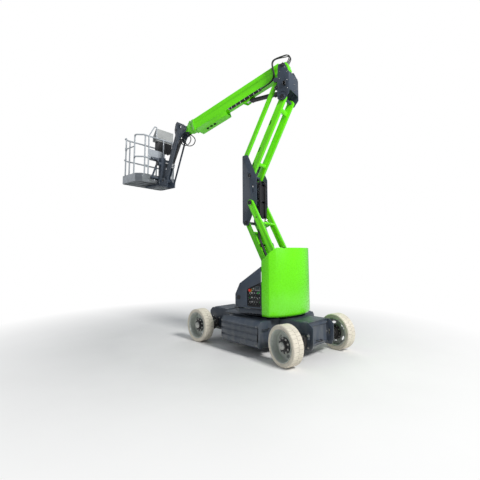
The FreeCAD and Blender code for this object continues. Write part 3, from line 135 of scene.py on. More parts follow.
class Nodes:
    """A material's node tree with short calls for the nodes that the finishes use."""

    def __init__(self, name: str) -> None:
        """Make the material.

        Args:
            name: the finish's name.
        """
        self.material = bpy.data.materials.new(name)
        self.material.use_nodes = True
        self.tree = self.material.node_tree
        self.shader = self.tree.nodes["Principled BSDF"]
        self.coords = self.tree.nodes.new("ShaderNodeTexCoord")

    def new(self, kind: str, **values: object) -> bpy.types.Node:
        """Add a node.

        Args:
            kind: the node's type, without its prefix.
            values: settings of the node, or of a socket where the name has spaces as underscores.

        Returns:
            The node.
        """
        node = self.tree.nodes.new("ShaderNode" + kind)
        for key, value in values.items():
            if hasattr(node, key):
                setattr(node, key, value)
            else:
                node.inputs[key.replace("_", " ")].default_value = value
        return node

    def link(self, source: bpy.types.NodeSocket, target: bpy.types.NodeSocket) -> None:
        """Join two sockets."""
        self.tree.links.new(source, target)

    def place(self, stretch: Point = (1, 1, 1), turn: Point = (0, 0, 0)) -> bpy.types.NodeSocket:
        """Return object coordinates, stretched and turned.

        Args:
            stretch: scale on each axis.
            turn: rotation in degrees.

        Returns:
            The vector socket.
        """
        mapping = self.new("Mapping")
        mapping.inputs["Scale"].default_value = stretch
        mapping.inputs["Rotation"].default_value = [math.radians(a) for a in turn]
        self.link(self.coords.outputs["Object"], mapping.inputs["Vector"])
        return mapping.outputs["Vector"]

    def noise(self, scale: float, detail: float = 4.0, rough: float = 0.55, stretch: Point = (1, 1, 1),
              lift: float = 0.0) -> bpy.types.NodeSocket:
        """Return a noise pattern.

        Args:
            scale: pattern repeats in a metre.
            detail: octaves.
            rough: share of the fine octaves.
            stretch: scale on each axis.
            lift: distortion.

        Returns:
            The factor socket.
        """
        node = self.new("TexNoise", Scale=scale, Detail=detail, Roughness=rough, Distortion=lift)
        self.link(self.place(stretch), node.inputs["Vector"])
        return node.outputs["Fac"]

    def ramp(self, source: bpy.types.NodeSocket, stops: Sequence[tuple[float, Point]]) -> bpy.types.NodeSocket:
        """Return a colour ramp.

        Args:
            source: the factor.
            stops: place and colour of each stop, in order.

        Returns:
            The colour socket.
        """
        node = self.new("ValToRGB")
        band = node.color_ramp
        while len(band.elements) < len(stops):
            band.elements.new(0.5)
        for element, (spot, colour) in zip(band.elements, stops):
            element.position = spot
            element.color = (*colour[:3], 1.0)
        self.link(source, node.inputs["Fac"])
        return node.outputs["Color"]

    def level(self, source: bpy.types.NodeSocket, low: float, high: float, start: float = 0.3,
              end: float = 0.7) -> bpy.types.NodeSocket:
        """Return the source spread from low to high.

        Args:
            source: the value.
            low: result at start.
            high: result at end.
            start: lower input.
            end: upper input.

        Returns:
            The value socket.
        """
        node = self.new("MapRange", From_Min=start, From_Max=end, To_Min=low, To_Max=high)
        self.link(source, node.inputs["Value"])
        return node.outputs["Result"]

    def mixed(self, share: bpy.types.NodeSocket, first: object, second: object,
              way: str = "MIX") -> bpy.types.NodeSocket:
        """Return two colours mixed.

        Args:
            share: factor.
            first: colour or socket at 0.
            second: colour or socket at 1.
            way: blend type.

        Returns:
            The colour socket.
        """
        node = self.new("Mix", data_type="RGBA", blend_type=way)
        self.link(share, node.inputs[0])
        for value, socket in ((first, node.inputs[6]), (second, node.inputs[7])):
            if isinstance(value, bpy.types.NodeSocket):
                self.link(value, socket)
            else:
                socket.default_value = (*value[:3], 1.0)
        return node.outputs[2]

    def bump(self, height: bpy.types.NodeSocket, strength: float, distance: float,
             under: Optional[bpy.types.NodeSocket] = None) -> bpy.types.NodeSocket:
        """Return a bumped normal.

        Args:
            height: the height pattern.
            strength: share of the bump.
            distance: depth in metres.
            under: an earlier normal to add to.

        Returns:
            The normal socket.
        """
        node = self.new("Bump", Strength=strength, Distance=distance)
        self.link(height, node.inputs["Height"])
        if under is not None:
            self.link(under, node.inputs["Normal"])
        return node.outputs["Normal"]

    def height_share(self, low: float, high: float) -> bpy.types.NodeSocket:
        """Return 1 below the low height and 0 above the high one, in metres above the ground."""
        split = self.new("SeparateXYZ")
        self.link(self.coords.outputs["Object"], split.inputs["Vector"])
        return self.level(split.outputs["Z"], 1.0, 0.0, low, high)

    def wire(self, **sockets: object) -> None:
        """Set or link the shader's sockets.

        Args:
            sockets: the socket's name with underscores for spaces, and a value or a socket.
        """
        for key, value in sockets.items():
            target = self.shader.inputs[key.replace("_", " ")]
            if isinstance(value, bpy.types.NodeSocket):
                self.link(value, target)
            else:
                target.default_value = value


def tone(colour: Point, by: float) -> tuple[float, ...]:
    """Return a colour made lighter or darker by a factor."""
    return tuple(min(1.0, c * by) for c in colour[:3])


@dataclass(frozen=True)
class Finish:
    """A surface finish: its name, the record's slot and its base colour in linear light."""

    name: str
    slot: str
    colour: tuple[float, float, float]

    def build(self) -> bpy.types.Material:
        """Return the material, made once."""
        known = bpy.data.materials.get(self.name)
        if known is not None:
            return known
        nodes = Nodes(self.name)
        self.dress(nodes)
        nodes.material.diffuse_color = (*self.colour, 1.0)
        return nodes.material

    def dress(self, nodes: Nodes) -> None:
        """Wire the shader; each kind of finish does this its own way."""
        raise NotImplementedError


@dataclass(frozen=True)
class Enamel(Finish):
    """Sprayed enamel: orange peel, faint mottling, dust low down and a clear top."""

    roughness: float = 0.32
    coat: float = 0.4
    peel: float = 0.25
    dust: float = 0.15
    dust_top: float = 0.9

    def dress(self, nodes: Nodes) -> None:
        """Wire the enamel."""
        broad = nodes.noise(1.7, 3.0)
        fine = nodes.noise(42.0, 5.0, 0.6)
        base = nodes.ramp(broad, ((0.3, tone(self.colour, 0.93)), (0.7, tone(self.colour, 1.05))))
        film = nodes.noise(9.0, 6.0, 0.65, (1, 1, 0.35))
        reach = nodes.height_share(0.05, self.dust_top)
        share = nodes.new("Math", operation="MULTIPLY")
        nodes.link(nodes.level(film, 0.0, self.dust, 0.42, 0.75), share.inputs[0])
        nodes.link(reach, share.inputs[1])
        colour = nodes.mixed(share.outputs["Value"], base, (0.36, 0.33, 0.28))
        normal = nodes.bump(nodes.noise(310.0, 2.0, 0.4), self.peel, 0.00035)
        nodes.wire(Base_Color=colour, Roughness=nodes.level(fine, self.roughness - 0.02, self.roughness + 0.05),
                   Normal=normal, Coat_Weight=self.coat, Coat_Roughness=0.12)


@dataclass(frozen=True)
class Steel(Finish):
    """Bare or plated metal with fine turning or drawing lines."""

    roughness: float = 0.22
    lines: tuple[float, float, float] = (1.0, 1.0, 30.0)
    depth: float = 0.12
    stain: float = 0.25

    def dress(self, nodes: Nodes) -> None:
        """Wire the metal."""
        grain = nodes.noise(60.0, 3.0, 0.6, self.lines)
        cloud = nodes.noise(7.0, 4.0, 0.6)
        colour = nodes.ramp(cloud, ((0.3, tone(self.colour, 1 - self.stain)), (0.68, self.colour)))
        nodes.wire(Base_Color=colour, Metallic=1.0, Normal=nodes.bump(grain, self.depth, 0.0003),
                   Roughness=nodes.level(grain, self.roughness * 0.75, self.roughness * 1.5))


@dataclass(frozen=True)
class Rubber(Finish):
    """Moulded rubber, matt, with a skin of fine grain, scuffs and road dirt."""

    roughness: float = 0.75
    dirt: float = 0.25
    dirt_colour: tuple[float, float, float] = (0.30, 0.25, 0.19)
    grain: float = 0.3

    def dress(self, nodes: Nodes) -> None:
        """Wire the rubber."""
        cloud = nodes.noise(5.0, 5.0, 0.6)
        speck = nodes.noise(70.0, 4.0, 0.7)
        base = nodes.ramp(cloud, ((0.28, tone(self.colour, 0.86)), (0.7, tone(self.colour, 1.04))))
        colour = nodes.mixed(nodes.level(speck, 0.0, self.dirt, 0.46, 0.82), base, self.dirt_colour)
        normal = nodes.bump(nodes.noise(220.0, 4.0, 0.6), self.grain, 0.0006)
        nodes.wire(Base_Color=colour, Roughness=nodes.level(speck, self.roughness - 0.1, self.roughness + 0.12),
                   Normal=normal, Specular_IOR_Level=0.35)


@dataclass(frozen=True)
class Plastic(Finish):
    """Moulded plastic with a stipple and slightly uneven gloss."""

    roughness: float = 0.45
    stipple: float = 0.35
    stipple_scale: float = 420.0

    def dress(self, nodes: Nodes) -> None:
        """Wire the plastic."""
        cloud = nodes.noise(6.0, 4.0)
        colour = nodes.ramp(cloud, ((0.3, tone(self.colour, 0.88)), (0.72, tone(self.colour, 1.06))))
        normal = nodes.bump(nodes.noise(self.stipple_scale, 2.0, 0.5), self.stipple, 0.0004)
        nodes.wire(Base_Color=colour, Roughness=nodes.level(cloud, self.roughness - 0.06, self.roughness + 0.08),
                   Normal=normal)


@dataclass(frozen=True)
class GripSheet(Finish):
    """Aluminium tread sheet: rows of raised bars turned left and right, and dull boot wear."""

    roughness: float = 0.42

    def dress(self, nodes: Nodes) -> None:
        """Wire the tread sheet."""
        heights = []
        for turn, shift in ((45, 0.0), (-45, 0.5)):
            wave = nodes.new("TexBrick", offset=0.5, Scale=26.0, Mortar_Size=0.11, Mortar_Smooth=0.6,
                             Brick_Width=1.0, Row_Height=0.34)
            nodes.link(nodes.place((1, 1, 1), (0, 0, turn)), wave.inputs["Vector"])
            wave.inputs["Color1"].default_value = (1, 1, 1, 1)
            wave.inputs["Color2"].default_value = (1 - shift * 0.2,) * 3 + (1,)
            wave.inputs["Mortar"].default_value = (0, 0, 0, 1)
            heights.append(wave.outputs["Fac"])
        both = nodes.new("Math", operation="MULTIPLY")
        nodes.link(heights[0], both.inputs[0])
        nodes.link(heights[1], both.inputs[1])
        wear = nodes.noise(9.0, 5.0, 0.65)
        colour = nodes.ramp(wear, ((0.3, tone(self.colour, 0.7)), (0.7, tone(self.colour, 1.05))))
        nodes.wire(Base_Color=colour, Metallic=0.85, Normal=nodes.bump(both.outputs["Value"], 0.6, 0.0012),
                   Roughness=nodes.level(wear, self.roughness, self.roughness + 0.2))


@dataclass(frozen=True)
class Lens(Finish):
    """Coloured clear lens with a ribbed back."""

    def dress(self, nodes: Nodes) -> None:
        """Wire the lens."""
        ribs = nodes.noise(180.0, 2.0, 0.5, (1, 1, 3))
        colour = nodes.ramp(ribs, ((0.35, tone(self.colour, 0.75)), (0.65, self.colour)))
        nodes.wire(Base_Color=colour, Roughness=0.12, Coat_Weight=0.8, Normal=nodes.bump(ribs, 0.2, 0.0004))


LIME = Enamel("lime_enamel", "lime_paint", (0.155, 0.82, 0.0), 0.30, 0.35, 0.08, 0.03, 1.2)
LIME_CAST = Enamel("lime_casting_enamel", "lime_casting", (0.155, 0.82, 0.0), 0.26, 0.5, 0.15, 0.03, 1.0)
SLATE = Enamel("slate_enamel", "slate_paint", (0.047, 0.062, 0.086), 0.38, 0.25, 0.3, 0.35, 0.8)
SLATE_MOULDED = Plastic("slate_moulding", "slate_plastic", (0.050, 0.066, 0.091), 0.36, 0.2)
BLACK = Enamel("black_enamel", "black_paint", (0.012, 0.012, 0.014), 0.34, 0.3, 0.3, 0.3, 0.7)
BARREL = Enamel("cylinder_black", "barrel_paint", (0.014, 0.014, 0.016), 0.24, 0.6, 0.15, 0.1, 1.5)
RAIL = Enamel("rail_grey_enamel", "rail_paint", (0.42, 0.45, 0.48), 0.35, 0.2, 0.3, 0.0, 1.0)
TREAD = Rubber("cream_tyre_rubber", "tyre_rubber", (0.78, 0.72, 0.60), 0.72, 0.35)
# Dark layer for the floors of the tread grooves: painted shade standing in for the grooves' shadow.
TREAD_GROOVE_SHADE = Rubber("joint_dirt", "tyre_rubber", (0.10, 0.085, 0.07), 0.9, 0.5, (0.05, 0.04, 0.03))
HOSE = Rubber("hose_rubber", "chain_plastic", (0.014, 0.014, 0.015), 0.5, 0.06, (0.1, 0.09, 0.08), 0.5)
CHROME = Steel("chromed_rod", "chromed_rod", (0.80, 0.81, 0.83), 0.08, (1.0, 1.0, 1.0), 0.03, 0.05)
ZINC = Steel("zinc_plate", "chromed_rod", (0.62, 0.62, 0.58), 0.28, (1.0, 1.0, 8.0), 0.15, 0.3)
RIM = Enamel("rim_enamel", "rim_paint", (0.50, 0.53, 0.48), 0.34, 0.3, 0.25, 0.35, 0.5)
GRIP = GripSheet("grip_sheet", "floor_aluminium", (0.50, 0.51, 0.52))
SHEET = Steel("drawn_aluminium", "floor_aluminium", (0.46, 0.48, 0.50), 0.35, (1.0, 1.0, 14.0), 0.2, 0.3)
CONSOLE = Plastic("console_moulding", "console_plastic", (0.42, 0.43, 0.42), 0.5)
CHAIN = Plastic("chain_moulding", "chain_plastic", (0.016, 0.016, 0.017), 0.5)
PANEL = Plastic("panel_moulding", "black_paint", (0.012, 0.012, 0.013), 0.4, 0.25, 600.0)
NYLON = Plastic("nylon_pad", "console_plastic", (0.75, 0.74, 0.68), 0.4, 0.15)
WHITE_INK = Plastic("white_ink", "console_plastic", (0.72, 0.72, 0.70), 0.5, 0.1)
GREEN_INK = Plastic("green_ink", "lime_paint", (0.03, 0.42, 0.08), 0.45, 0.1)
RED_CAP = Plastic("red_cap", "console_plastic", (0.62, 0.018, 0.012), 0.25, 0.05)
YELLOW_CAP = Plastic("yellow_ring", "console_plastic", (0.72, 0.50, 0.02), 0.35, 0.1)
GREEN_LAMP = Lens("green_lens", "lime_paint", (0.05, 0.75, 0.12))
GLASS = Lens("display_glass", "black_paint", (0.02, 0.035, 0.04))


# Bench: modelling with Blender's own tools


def deselect() -> None:
    """Deselect everything and leave edit mode."""
    if bpy.context.object is not None and bpy.context.object.mode != "OBJECT":
        bpy.ops.object.mode_set(mode="OBJECT")
    bpy.ops.object.select_all(action="DESELECT")


def only(piece: bpy.types.Object) -> None:
    """Select one object alone and make it active."""
    deselect()
    piece.select_set(True)
    bpy.context.view_layer.objects.active = piece


def in_edit(mode: str = "FACE") -> None:
    """Enter edit mode with one kind of element."""
    bpy.ops.object.mode_set(mode="EDIT")
    bpy.ops.mesh.select_mode(type=mode)


def pick_faces(piece: bpy.types.Object, test: Callable[[Vector, Vector], bool]) -> int:
    """Select the faces that a test chooses, and go to edit mode.

    Args:
        piece: the mesh object.
        test: takes a face's centre and normal.

    Returns:
        How many faces are selected.
    """
    only(piece)
    in_edit("FACE")
    bpy.ops.mesh.select_all(action="DESELECT")
    bpy.ops.object.mode_set(mode="OBJECT")
    count = 0
    for face in piece.data.polygons:
        face.select = bool(test(face.center, face.normal))
        count += face.select
    bpy.ops.object.mode_set(mode="EDIT")
    return count


def pick_edges(piece: bpy.types.Object, test: Callable[[Vector, Vector], bool]) -> int:
    """Select the edges that a test chooses, and go to edit mode.

    Args:
        piece: the mesh object.
        test: takes an edge's two ends.

    Returns:
        How many edges are selected.
    """
    only(piece)
    in_edit("EDGE")
    bpy.ops.mesh.select_all(action="DESELECT")
    bpy.ops.object.mode_set(mode="OBJECT")
    points = [v.co.copy() for v in piece.data.vertices]
    count = 0
    for edge in piece.data.edges:
        a, b = edge.vertices
        edge.select = bool(test(points[a], points[b]))
        count += edge.select
    bpy.ops.object.mode_set(mode="EDIT")
    return count


def settle(piece: bpy.types.Object) -> bpy.types.Object:
    """Put an object's place into its mesh and turn its faces outwards."""
    only(piece)
    piece.data.transform(piece.matrix_world)
    piece.matrix_world = Matrix.Identity(4)
    in_edit("FACE")
    bpy.ops.mesh.select_all(action="SELECT")
    bpy.ops.mesh.remove_doubles(threshold=1e-5)
    bpy.ops.mesh.normals_make_consistent(inside=False)
    bpy.ops.object.mode_set(mode="OBJECT")
    return piece


def moved(piece: bpy.types.Object, matrix: Matrix) -> bpy.types.Object:
    """Return the piece with a matrix put into its mesh."""
    piece.data.transform(matrix)
    if matrix.to_3x3().determinant() < 0:
        piece.data.flip_normals()
    piece.data.update()
    return piece


def twin(piece: bpy.types.Object, matrix: Matrix) -> bpy.types.Object:
    """Return a copy with its own mesh, moved by a matrix."""
    copy = piece.copy()
    copy.data = piece.data.copy()
    bpy.context.scene.collection.objects.link(copy)
    return moved(copy, matrix)


def merged(name: str, pieces: Sequence[bpy.types.Object]) -> bpy.types.Object:
    """Join several pieces into one.

    Args:
        name: the new piece's name.
        pieces: mesh objects.

    Returns:
        The joined object.
    """
    deselect()
    for piece in pieces:
        piece.select_set(True)
    bpy.context.view_layer.objects.active = pieces[0]
    if len(pieces) > 1:
        bpy.ops.object.join()
    pieces[0].name = name
    return pieces[0]


def modify(piece: bpy.types.Object, kind: str, **values: object) -> bpy.types.Object:
    """Add a modifier and apply it.

    Args:
        piece: the mesh object.
        kind: the modifier's type.
        values: its settings.

    Returns:
        The same object.
    """
    only(piece)
    step = piece.modifiers.new(kind.lower(), kind)
    for key, value in values.items():
        setattr(step, key, value)
    bpy.ops.object.modifier_apply(modifier=step.name)
    return piece


def softened(piece: bpy.types.Object, width: float, segments: int = 2, angle: float = 32.0) -> bpy.types.Object:
    """Round a piece's sharp edges and shade it smooth.

    Args:
        piece: the mesh object.
        width: bevel width in metres; 0 leaves the edges.
        segments: steps of the rounding.
        angle: edges sharper than this are rounded, in degrees.

    Returns:
        The same object.
    """
    if width > 0:
        modify(piece, "BEVEL", width=width, segments=segments, limit_method="ANGLE",
               angle_limit=math.radians(angle), use_clamp_overlap=True, harden_normals=False)
    only(piece)
    bpy.ops.object.shade_smooth_by_angle(angle=math.radians(38))
    return piece


def block(name: str, low: Point, high: Point, bevel: float = 0.003, segments: int = 2) -> bpy.types.Object:
    """Make a block with rounded edges.

    Args:
        name: the piece's name.
        low: lowest corner.
        high: highest corner.
        bevel: edge radius.
        segments: steps of the rounding.

    Returns:
        The object.
    """
    deselect()
    centre = [(a + b) / 2 for a, b in zip(low, high)]
    bpy.ops.mesh.primitive_cube_add(size=1, location=centre)
    piece = bpy.context.object
    piece.name = name
    piece.scale = [b - a for a, b in zip(low, high)]
    bpy.context.view_layer.update()
    settle(piece)
    return softened(piece, bevel, segments)


def facing_matrix(facing: Facing, spot: Point) -> Matrix:
    """Return the matrix that lays an upright piece along a facing, at a spot."""
    turn = Vector((0, 0, 1)).rotation_difference(Vector(facing.value)).to_matrix().to_4x4()
    return Matrix.Translation(spot) @ turn


def turned(name: str, stations: Sequence[tuple[float, float]], steps: int = 32, closed: bool = False,
           smooth: float = 30.0) -> bpy.types.Object:
    """Turn a profile about Z, by extruding and resizing a circle from station to station.

    Args:
        name: the piece's name.
        stations: (radius, height) from foot to top.
        steps: sides of the circle.
        closed: True joins the last ring to the first, as a hollow ring has it.
        smooth: edges flatter than this are shaded smooth, in degrees.

    Returns:
        The object.
    """
    deselect()
    radius, height = stations[0]
    bpy.ops.mesh.primitive_circle_add(vertices=steps, radius=radius, location=(0, 0, height))
    piece = bpy.context.object
    piece.name = name
    settle_place(piece)
    in_edit("EDGE")
    bpy.ops.mesh.select_all(action="SELECT")
    if not closed:
        bpy.ops.mesh.edge_face_add()
    for new_radius, new_height in stations[1:]:
        share = new_radius / radius
        if closed:
            bpy.ops.mesh.extrude_edges_move(TRANSFORM_OT_translate={"value": (0, 0, new_height - height)})
        else:
            bpy.ops.mesh.extrude_region_move(TRANSFORM_OT_translate={"value": (0, 0, new_height - height)})
        bpy.ops.transform.resize(value=(share, share, 1), center_override=(0, 0, new_height))
        radius, height = new_radius, new_height
    if closed:
        bpy.ops.mesh.select_all(action="SELECT")
        bpy.ops.object.mode_set(mode="OBJECT")
        first, last = stations[0], stations[-1]
        pick_edges(piece, lambda a, b: all(
            min(abs(math.hypot(p.x, p.y) - s[0]) + abs(p.z - s[1]) for s in (first, last)) < 1e-5 for p in (a, b))
            and abs(a.z - b.z) < 1e-6 and abs(math.hypot(a.x, a.y) - math.hypot(b.x, b.y)) < 1e-6)
        bpy.ops.mesh.bridge_edge_loops()
    bpy.ops.object.mode_set(mode="OBJECT")
    settle(piece)
    only(piece)
    bpy.ops.object.shade_smooth_by_angle(angle=math.radians(smooth))
    return piece


def settle_place(piece: bpy.types.Object) -> None:
    """Put an object's place into its mesh and leave its faces alone."""
    bpy.context.view_layer.update()
    piece.data.transform(piece.matrix_world)
    piece.matrix_world = Matrix.Identity(4)


def plate(name: str, outline: Sequence[Point], thickness: float, bevel: float = 0.002) -> bpy.types.Object:
    """Cut a plate to an outline in the XY plane and thicken it upwards.

    Args:
        name: the piece's name.
        outline: (x, y) corners in order.
        thickness: in metres.
        bevel: edge radius.

    Returns:
        The object.
    """
    deselect()
    bpy.ops.mesh.primitive_circle_add(vertices=len(outline), radius=1.0, fill_type="NGON")
    piece = bpy.context.object
    piece.name = name
    for vertex, (x, y) in zip(piece.data.vertices, outline):
        vertex.co = (x, y, 0.0)
    in_edit("FACE")
    bpy.ops.mesh.select_all(action="SELECT")
    bpy.ops.mesh.extrude_region_move(TRANSFORM_OT_translate={"value": (0, 0, thickness)})
    bpy.ops.object.mode_set(mode="OBJECT")
    settle(piece)
    return softened(piece, bevel, 2)


def upright_plate(name: str, outline: Sequence[Point], y0: float, y1: float,
                  bevel: float = 0.002) -> bpy.types.Object:
    """Cut a plate to an (x, z) outline that stands from y0 to y1."""
    piece = plate(name, outline, abs(y1 - y0), bevel)
    turn = Matrix(((1, 0, 0, 0), (0, 0, -1, max(y0, y1)), (0, 1, 0, 0), (0, 0, 0, 1)))
    return moved(piece, turn)


def hex_bolt(size: float, washer: bool = True) -> bpy.types.Object:
    """Make an upright hexagon bolt head on its washer, seated at z = 0.

    Args:
        size: width across the corners in metres.
        washer: True adds the washer.

    Returns:
        The object.
    """
    deselect()
    base = size * 0.12 if washer else 0.0
    bpy.ops.mesh.primitive_cylinder_add(vertices=6, radius=size / 2, depth=size * 0.4,
                                        location=(0, 0, base + size * 0.2))
    head = bpy.context.object
    settle(head)
    pick_faces(head, lambda centre, normal: normal.z > 0.9)
    bpy.ops.mesh.inset(thickness=size * 0.06, depth=size * 0.05)
    bpy.ops.mesh.inset(thickness=size * 0.12, depth=-size * 0.03)
    bpy.ops.object.mode_set(mode="OBJECT")
    if not washer:
        return head
    ring = turned("washer", ((size * 0.58, 0.0), (size * 0.62, size * 0.03), (size * 0.62, size * 0.09),
                             (size * 0.58, base)), 16)
    return merged("bolt", [head, ring])


def socket_screw(size: float) -> bpy.types.Object:
    """Make an upright domed socket screw seated at z = 0."""
    screw = turned("screw", ((size * 0.5, 0.0), (size * 0.5, size * 0.14), (size * 0.38, size * 0.27)), 14)
    pick_faces(screw, lambda centre, normal: normal.z > 0.95 and centre.z > size * 0.2)
    bpy.ops.mesh.inset(thickness=size * 0.17, depth=0.0)
    bpy.ops.mesh.inset(thickness=size * 0.02, depth=-size * 0.12)
    bpy.ops.object.mode_set(mode="OBJECT")
    return screw


def repeated(name: str, pattern: bpy.types.Object, matrices: Iterable[Matrix]) -> bpy.types.Object:
    """Copy one piece to many places and join the copies; the pattern goes.

    Args:
        name: the new piece's name.
        pattern: the piece to copy.
        matrices: a matrix for each place.

    Returns:
        The joined object.
    """
    pieces = [twin(pattern, matrix) for matrix in matrices]
    bpy.data.objects.remove(pattern)
    return merged(name, pieces)


def bent_rod(name: str, points: Sequence[Point], radius: float, sides: int = 10, order: int = 3) -> bpy.types.Object:
    """Bend a round rod along a smooth line and make it a mesh.

    Args:
        name: the piece's name.
        points: control points.
        radius: of the rod.
        sides: of its section, in whole steps of four.
        order: of the spline.

    Returns:
        The object.
    """
    rod = smooth_line(name, points, radius, order, max(1, sides // 4))
    only(rod)
    bpy.ops.object.convert(target="MESH")
    rod = bpy.context.object
    settle(rod)
    only(rod)
    bpy.ops.object.shade_smooth()
    return rod


def smooth_line(name: str, points: Sequence[Point], radius: float, order: int = 3,
                rings: int = 4) -> bpy.types.Object:
    """Return a NURBS curve with a round section along control points."""
    curve = bpy.data.curves.new(name, "CURVE")
    curve.dimensions = "3D"
    spline = curve.splines.new("NURBS")
    spline.points.add(len(points) - 1)
    for spot, point in zip(spline.points, points):
        spot.co = (*point, 1.0)
    spline.order_u = min(order, len(points))
    spline.use_endpoint_u = True
    spline.resolution_u = 8
    curve.bevel_depth = radius
    curve.bevel_resolution = rings
    curve.use_fill_caps = True
    piece = bpy.data.objects.new(name, curve)
    bpy.context.scene.collection.objects.link(piece)
    return piece


def fitted(piece: bpy.types.Object, finish: Finish, body: str, note: str = "") -> bpy.types.Object:
    """Give a finished piece its material and its body.

    Args:
        piece: the object, in place.
        finish: its finish.
        body: the frame body that it rides on.
        note: words for the log.

    Returns:
        The same object.
    """
    piece.data.materials.clear()
    piece.data.materials.append(finish.build())
    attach(piece, body)
    log.info("%s rides on %s in %s %s", piece.name, body, finish.name, note)
    return piece


# Studio


@dataclass
class Studio:
    """Floor, lamps and the camera at the photograph's place."""

    eye: tuple[float, float, float] = (-3.860, 5.308, 1.562)
    yaw: float = -57.7
    pitch: float = 6.84
    roll: float = -0.25
    lens: float = 25.0
    shift: float = -26.0 / 480.0

    def camera(self) -> None:
        """Place the camera."""
        data = bpy.data.cameras.new("camera")
        data.lens = self.lens
        data.sensor_width = 36.0
        data.shift_y = self.shift
        data.clip_end = 200.0
        piece = bpy.data.objects.new("camera", data)
        bpy.context.scene.collection.objects.link(piece)
        aim = Matrix.Rotation(math.radians(self.yaw - 90.0), 4, "Z")
        tip = Matrix.Rotation(math.radians(90.0 + self.pitch), 4, "X")
        lean = Matrix.Rotation(math.radians(self.roll), 4, "Z")
        piece.matrix_world = Matrix.Translation(self.eye) @ aim @ tip @ lean
        bpy.context.scene.camera = piece

    def lamp(self, name: str, spot: Point, aim: Point, size: float, power: float) -> None:
        """Add one soft lamp.

        Args:
            name: the lamp's name.
            spot: where it hangs.
            aim: what it points at.
            size: side of its square.
            power: in watts.
        """
        data = bpy.data.lights.new(name, "AREA")
        data.shape = "SQUARE"
        data.size = size
        data.energy = power
        piece = bpy.data.objects.new(name, data)
        bpy.context.scene.collection.objects.link(piece)
        piece.location = spot
        piece.rotation_euler = (Vector(aim) - Vector(spot)).to_track_quat("-Z", "Y").to_euler()

    def background(self) -> None:
        """Make the world white where it is seen, and a plain grey light elsewhere."""
        world = bpy.data.worlds.new("studio")
        bpy.context.scene.world = world
        world.use_nodes = True
        tree = world.node_tree
        light = tree.nodes["Background"]
        light.inputs["Color"].default_value = (0.84, 0.91, 1.0, 1.0)
        light.inputs["Strength"].default_value = 0.31
        seen = tree.nodes.new("ShaderNodeBackground")
        seen.inputs["Color"].default_value = (1.0, 1.0, 1.0, 1.0)
        rays = tree.nodes.new("ShaderNodeLightPath")
        mix = tree.nodes.new("ShaderNodeMixShader")
        tree.links.new(rays.outputs["Is Camera Ray"], mix.inputs["Fac"])
        tree.links.new(light.outputs["Background"], mix.inputs[1])
        tree.links.new(seen.outputs["Background"], mix.inputs[2])
        tree.links.new(mix.outputs["Shader"], tree.nodes["World Output"].inputs["Surface"])

    def floor(self) -> None:
        """Lay the plain pale floor, which the camera sees fade to white away from the machine."""
        deselect()
        bpy.ops.mesh.primitive_plane_add(size=120.0, location=(0, 0, 0))
        ground = bpy.context.object
        ground.name = "studio_floor"
        settle_place(ground)
        nodes = Nodes("studio_floor")
        pale = nodes.ramp(nodes.noise(0.8, 4.0), ((0.3, (0.79, 0.78, 0.76)), (0.7, (0.84, 0.83, 0.81))))
        nodes.wire(Base_Color=pale, Roughness=0.85, Specular_IOR_Level=0.2)
        away = nodes.new("VectorMath", operation="LENGTH")
        nodes.link(nodes.coords.outputs["Object"], away.inputs[0])
        share = nodes.new("Math", operation="MULTIPLY")
        nodes.link(nodes.level(away.outputs["Value"], 0.0, 1.0, 1.9, 5.2), share.inputs[0])
        nodes.link(nodes.new("LightPath").outputs["Is Camera Ray"], share.inputs[1])
        white, mix = nodes.new("Emission"), nodes.new("MixShader")
        nodes.link(share.outputs["Value"], mix.inputs[0])
        nodes.link(nodes.shader.outputs["BSDF"], mix.inputs[1])
        nodes.link(white.outputs["Emission"], mix.inputs[2])
        nodes.link(mix.outputs["Shader"], nodes.tree.nodes["Material Output"].inputs["Surface"])
        ground.data.materials.append(nodes.material)

    def build(self) -> None:
        """Set up the studio."""
        bpy.context.scene.view_settings.view_transform = "Standard"
        self.camera()
        self.background()
        self.floor()
        self.lamp("sun_side", (-10.5, 3.0, 9.4), (-0.5, 0.0, 1.8), 2.6, 1480.0)
        self.lamp("fill_front", (9.0, 6.0, 7.0), (0.0, 0.0, 2.0), 6.0, 120.0)
        self.lamp("fill_back", (2.0, -9.0, 8.0), (-0.5, 0.0, 2.5), 6.0, 180.0)


# Frame nodes


@dataclass
class SkinRow:
    """How one frame node is dressed: its finish, and its edge radius; no radius leaves the node as it is."""

    node: str
    finish: Finish
    edge: float = 0.0


